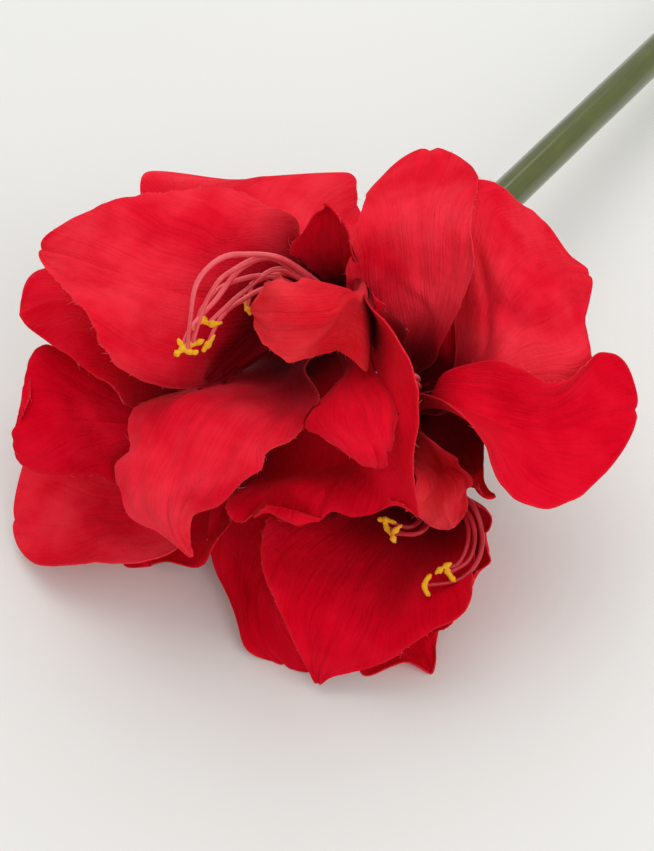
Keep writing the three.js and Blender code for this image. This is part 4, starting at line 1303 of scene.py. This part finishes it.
def grow_umbel(up):
    """The swollen top of the stem, with a stalk to each bloom, moulded as one."""
    bulb = [(STEM_RADIUS["top"] - 0.2, GAP), (7.0, 4), (7.4, 8), (6.6, 12), (4.6, 15.4), (0.6, 17)]
    parts = [lathe(rounded(bulb), SIDES["umbel"], STEM_TOP, up)]
    fork = np.array(STEM_TOP, float) + up * 11
    share = np.linspace(0, 1, 40)
    radii = PEDICEL_RADIUS * (1 + 0.12 * share ** 6 + 0.1 * (1 - share) ** 3)
    for bloom in BLOOMS.values():
        axis, root = axis_and_root(bloom)
        end = root - axis * (CALYX_LENGTH + GAP)
        reach = np.linalg.norm(end - fork) * 0.45
        line = bezier([fork, fork + up * reach, end - axis * reach, end], share)
        parts.append(tube(line, radii, SIDES["pedicel"]))
    piece = piece_of("umbel_and_pedicels", *gather(parts), [GREEN], "stem_plastic", "umbel")
    remesh = piece.modifiers.new("one moulding", "REMESH")
    remesh.mode, remesh.voxel_size, remesh.use_smooth_shade = "VOXEL", 0.7 * MM, True
    smoothing = piece.modifiers.new("softened joins", "SMOOTH")
    smoothing.factor, smoothing.iterations = 0.5, 6
    piece.data = evaluated_mesh(piece)
    piece.data.materials.clear()
    piece.data.materials.append(GREEN)


def grow_calyx(name, bloom):
    """The green cup that holds a bloom's petals, with six shallow lobes."""
    outside = [(1.2, -CALYX_LENGTH), (4.1, -CALYX_LENGTH + 0.2), (5.2, -8), (7.9, -3), (9.1, 2), (9.25, 4.6)]
    inside = [(9.0, 5.0), (8.5, 4.6), (8.35, 2), (8.3, -GAP)]
    profile = np.concatenate([rounded(outside), rounded(inside), [(0.3, -GAP)]])
    sides = SIDES["calyx"]
    axis, root = axis_and_root(bloom)
    points, faces = lathe(profile, sides, root, axis)
    points = np.array(points)
    height = (points - root) @ axis
    radial = points - root - height[:, None] * axis
    size = np.linalg.norm(radial, axis=1)
    around = np.tile(np.arange(sides) * 2 * math.pi / sides, len(profile))
    groove = 0.18 * np.cos(6 * around) * smooth((height + 9) / 8) * (size > 6)
    points = points - radial / np.maximum(size, 1e-6)[:, None] * np.maximum(groove, -0.05)[:, None]
    piece_of(f"{name}_calyx_cup", points, faces, [GREEN], "stem_plastic", f"{name}_calyx", sharp=40)


# ---- stamens and fringe ----

def grow_stamens(name, bloom):
    """A plug in the calyx with a bundle of filaments, and a yellow anther at the end of each."""
    axis, root = axis_and_root(bloom)
    side = unit(np.cross(axis, (0.2, 0.3, 0.9)))
    offsets = ring_of(np.zeros(3), side, np.cross(axis, side), 1.0, len(STAMENS[name]))
    plug = [(0.4, GAP), (3.1, GAP + 0.1), (3.2, 1.0), (3.2, 4.4), (2.8, 5.0), (0.4, 5.1)]
    threads, anthers = [lathe(plug, SIDES["plug"], root, axis)], []
    lies = ANTHERS.get(name, [None] * len(offsets))
    share = np.linspace(0, 1, 60)
    for k, (path, offset, lie) in enumerate(zip(STAMENS[name], offsets, lies)):
        start = root + axis * 4 + offset * 2.2
        mouth = root + axis * (TUBE_LENGTH - 2) + offset * 2.4
        line, _ = evenly(rounded([start, mouth, *path], 14), len(share))
        radii = FILAMENT_RADIUS * (1 - 0.35 * share ** 2) + 0.05 * np.sin(19 * share + k)
        threads.append(tube(line, radii, SIDES["filament"]))
        anthers.append(anther(line[-1], unit(line[-1] - line[-4]), k + len(name), lie))
    # The front bloom takes the copy in painted shade.
    plastic = SHADED_FILAMENT if name == "front" else FILAMENT
    piece_of(f"{name}_filaments", *gather(threads), [plastic], "stamen_plastic", f"{name}_stamens", sharp=60)
    piece_of(f"{name}_anthers", *gather(anthers), [DUST], "stamen_plastic", sharp=80)


def anther(place, along, seed, lie):
    """A curved, knobbly two-lobed anther across the end of its filament, lying one way or any way."""
    rng = np.random.default_rng(seed + 900)
    lie = unit(np.cross(along, rng.normal(size=3))) if lie is None else unit(lie)
    k = np.linspace(-1, 1, 22)
    length = rng.uniform(2.2, 3.2)
    line = place + np.outer(k * length, lie) - np.outer(k ** 2 * rng.uniform(0.4, 2.2), along)
    radii = ANTHER_RADIUS * np.maximum(0.12, 1 - np.abs(k) ** 3.2) ** 0.6
    radii = radii * (1 + 0.22 * np.sin(k * 7 + rng.uniform(0, 6))) * (1 - 0.18 * np.exp(-(k / 0.2) ** 2))
    points, faces = tube(line, radii, SIDES["anther"])
    return points + rng.normal(0, 0.07, (len(points), 3)), faces


def cut_fringe(name, bloom):
    """A collar of narrow cloth strips round the stamens. The upper bloom's strips hang out of its mouth."""
    axis, root = axis_and_root(bloom)
    first = unit(np.cross((0, 0, 1), axis))
    rng = np.random.default_rng(len(name) * 7)
    collar = [(4.0, GAP), (4.75, GAP + 0.05), (4.8, 4), (4.75, 7.9), (4.1, 8.0), (4.0, 4), (4.0, GAP + 0.02)]
    parts = [lathe(collar, SIDES["collar"], root, axis)]
    hanging = name in FRINGE_ENDS
    strips = 7 if hanging else 6
    share, over = np.linspace(0, 1, 40), np.linspace(-1, 1, 7)
    for k in range(strips):
        radial = turned_about(first, axis, 2 * math.pi * k / strips)
        if hanging:
            end = mix(*np.array(FRINGE_ENDS[name], float), k / (strips - 1)) + rng.normal(0, 0.7, 3)
            out = end - root
            radial = turned_about(unit(out - axis * (out @ axis)), axis, math.radians((k - 3) * 22))

        def spot(height, radius):
            return root + axis * height + radial * radius

        bend = spot(TUBE_LENGTH + 12, 8) if hanging else spot(16, 5)
        last = end if hanging else spot(TUBE_LENGTH - 2, 7)
        line, _ = evenly(bezier([spot(5, 4.4), spot(12, 4.4), bend, last], np.linspace(0, 1, 80)), len(share))
        along, across = carried(line, np.cross(axis, radial))
        other = np.cross(along, across)
        width = 1.3 * (1 - 0.4 * share ** 4) * (1 + 0.08 * np.sin(share * 21 + k))
        twist = (rng.uniform(-0.7, 0.7) * share ** 2)[:, None]
        flat = (across * np.cos(twist) + other * np.sin(twist)) * width[:, None]
        grid = line[:, None] + flat[:, None] * over[:, None] + other[:, None] * (0.25 * over ** 2)[:, None]
        parts.append(sheet_mesh(grid))
    points, faces = gather(parts)
    points = np.array(points)
    # All strips sit at one place of the throat's painted shade, so they are painted nearly the dark throat
    # colour, as if in shadow.
    flat = {"cloth": np.stack([points[:, 0] + points[:, 1] * 0.3, points[:, 2]], 1),
            "fan": np.tile((FRINGE_SHADE_PLACE, 0.0), (len(points), 1))}
    piece_of(f"{name}_fringe_strips", points, faces, [CLOTHS["veined"]], "fabric_petal", f"{name}_fringe",
             uvs=flat, rim=np.zeros(len(points)))


sew_petals()
grow_umbel(grow_stem())
for bloom_name, bloom_facts in BLOOMS.items():
    grow_calyx(bloom_name, bloom_facts)
    grow_stamens(bloom_name, bloom_facts)
    cut_fringe(bloom_name, bloom_facts)


# ---- table, light and camera ----

def lay_table(size=3.0):
    """The pale surface that the flower lies on. It reaches a size to each side, in metres."""
    material, tree, shader, drift = finish_of("pale table", 3.0, Roughness=0.6, Specular_IOR_Level=0.2)
    join(tree, shader, blend(tree, drift, (0.805, 0.810, 0.792), (0.840, 0.845, 0.827)))
    mesh = bpy.data.meshes.new("table")
    corners = [(-size, -size, 0), (size, -size, 0), (size, size, 0), (-size, size, 0)]
    mesh.from_pydata(corners, [], [range(4)])
    mesh.materials.append(material)
    table = bpy.data.objects.new("table", mesh)
    bpy.context.scene.collection.objects.link(table)


def aim(name, data, place, out):
    """Puts a lamp or camera at a place in the part's frame, looking against a direction."""
    thing = bpy.data.objects.new(name, data)
    thing.location = place
    thing.rotation_mode = "QUATERNION"
    thing.rotation_quaternion = (-out).to_track_quat("-Z", "Y")
    bpy.context.scene.collection.objects.link(thing)
    return thing


def hang_light(name, towards, distance, size, power, colour):
    """A square soft light that shines on the blooms from a direction of the head frame."""
    data = bpy.data.lights.new(name, "AREA")
    data.size, data.energy, data.color = size, power, colour
    out = direction_to_part(towards)
    aim(name, data, Vector(to_part(LIT_SPOT)) + out * distance, out)


def light_room(strength=0.62, colour=(1.0, 1.0, 0.99)):
    """Even light from all round, and a picture without a film look."""
    world = bpy.data.worlds.new("studio")
    world.use_nodes = True
    background = world.node_tree.nodes["Background"].inputs
    background["Color"].default_value = (*colour, 1)
    background["Strength"].default_value = strength
    bpy.context.scene.world = world
    bpy.context.scene.view_settings.view_transform = "Standard"


def set_camera():
    """The camera of the photograph, above the blooms."""
    data = bpy.data.cameras.new("camera")
    data.lens, data.sensor_width, data.clip_start = CAMERA["lens"], CAMERA["sensor"], 0.01
    stand, _, _, back = camera_view()
    bpy.context.scene.camera = aim("camera", data, to_part(stand), direction_to_part(back))


lay_table()
hang_light("window light", (-0.08, 0.5, 1.0), distance=2.4, size=2.4, power=26, colour=(1.0, 0.99, 0.97))
hang_light("room light", (0.8, -0.7, 0.8), distance=1.8, size=1.4, power=8.5, colour=(1.0, 0.98, 0.96))
light_room()
set_camera()
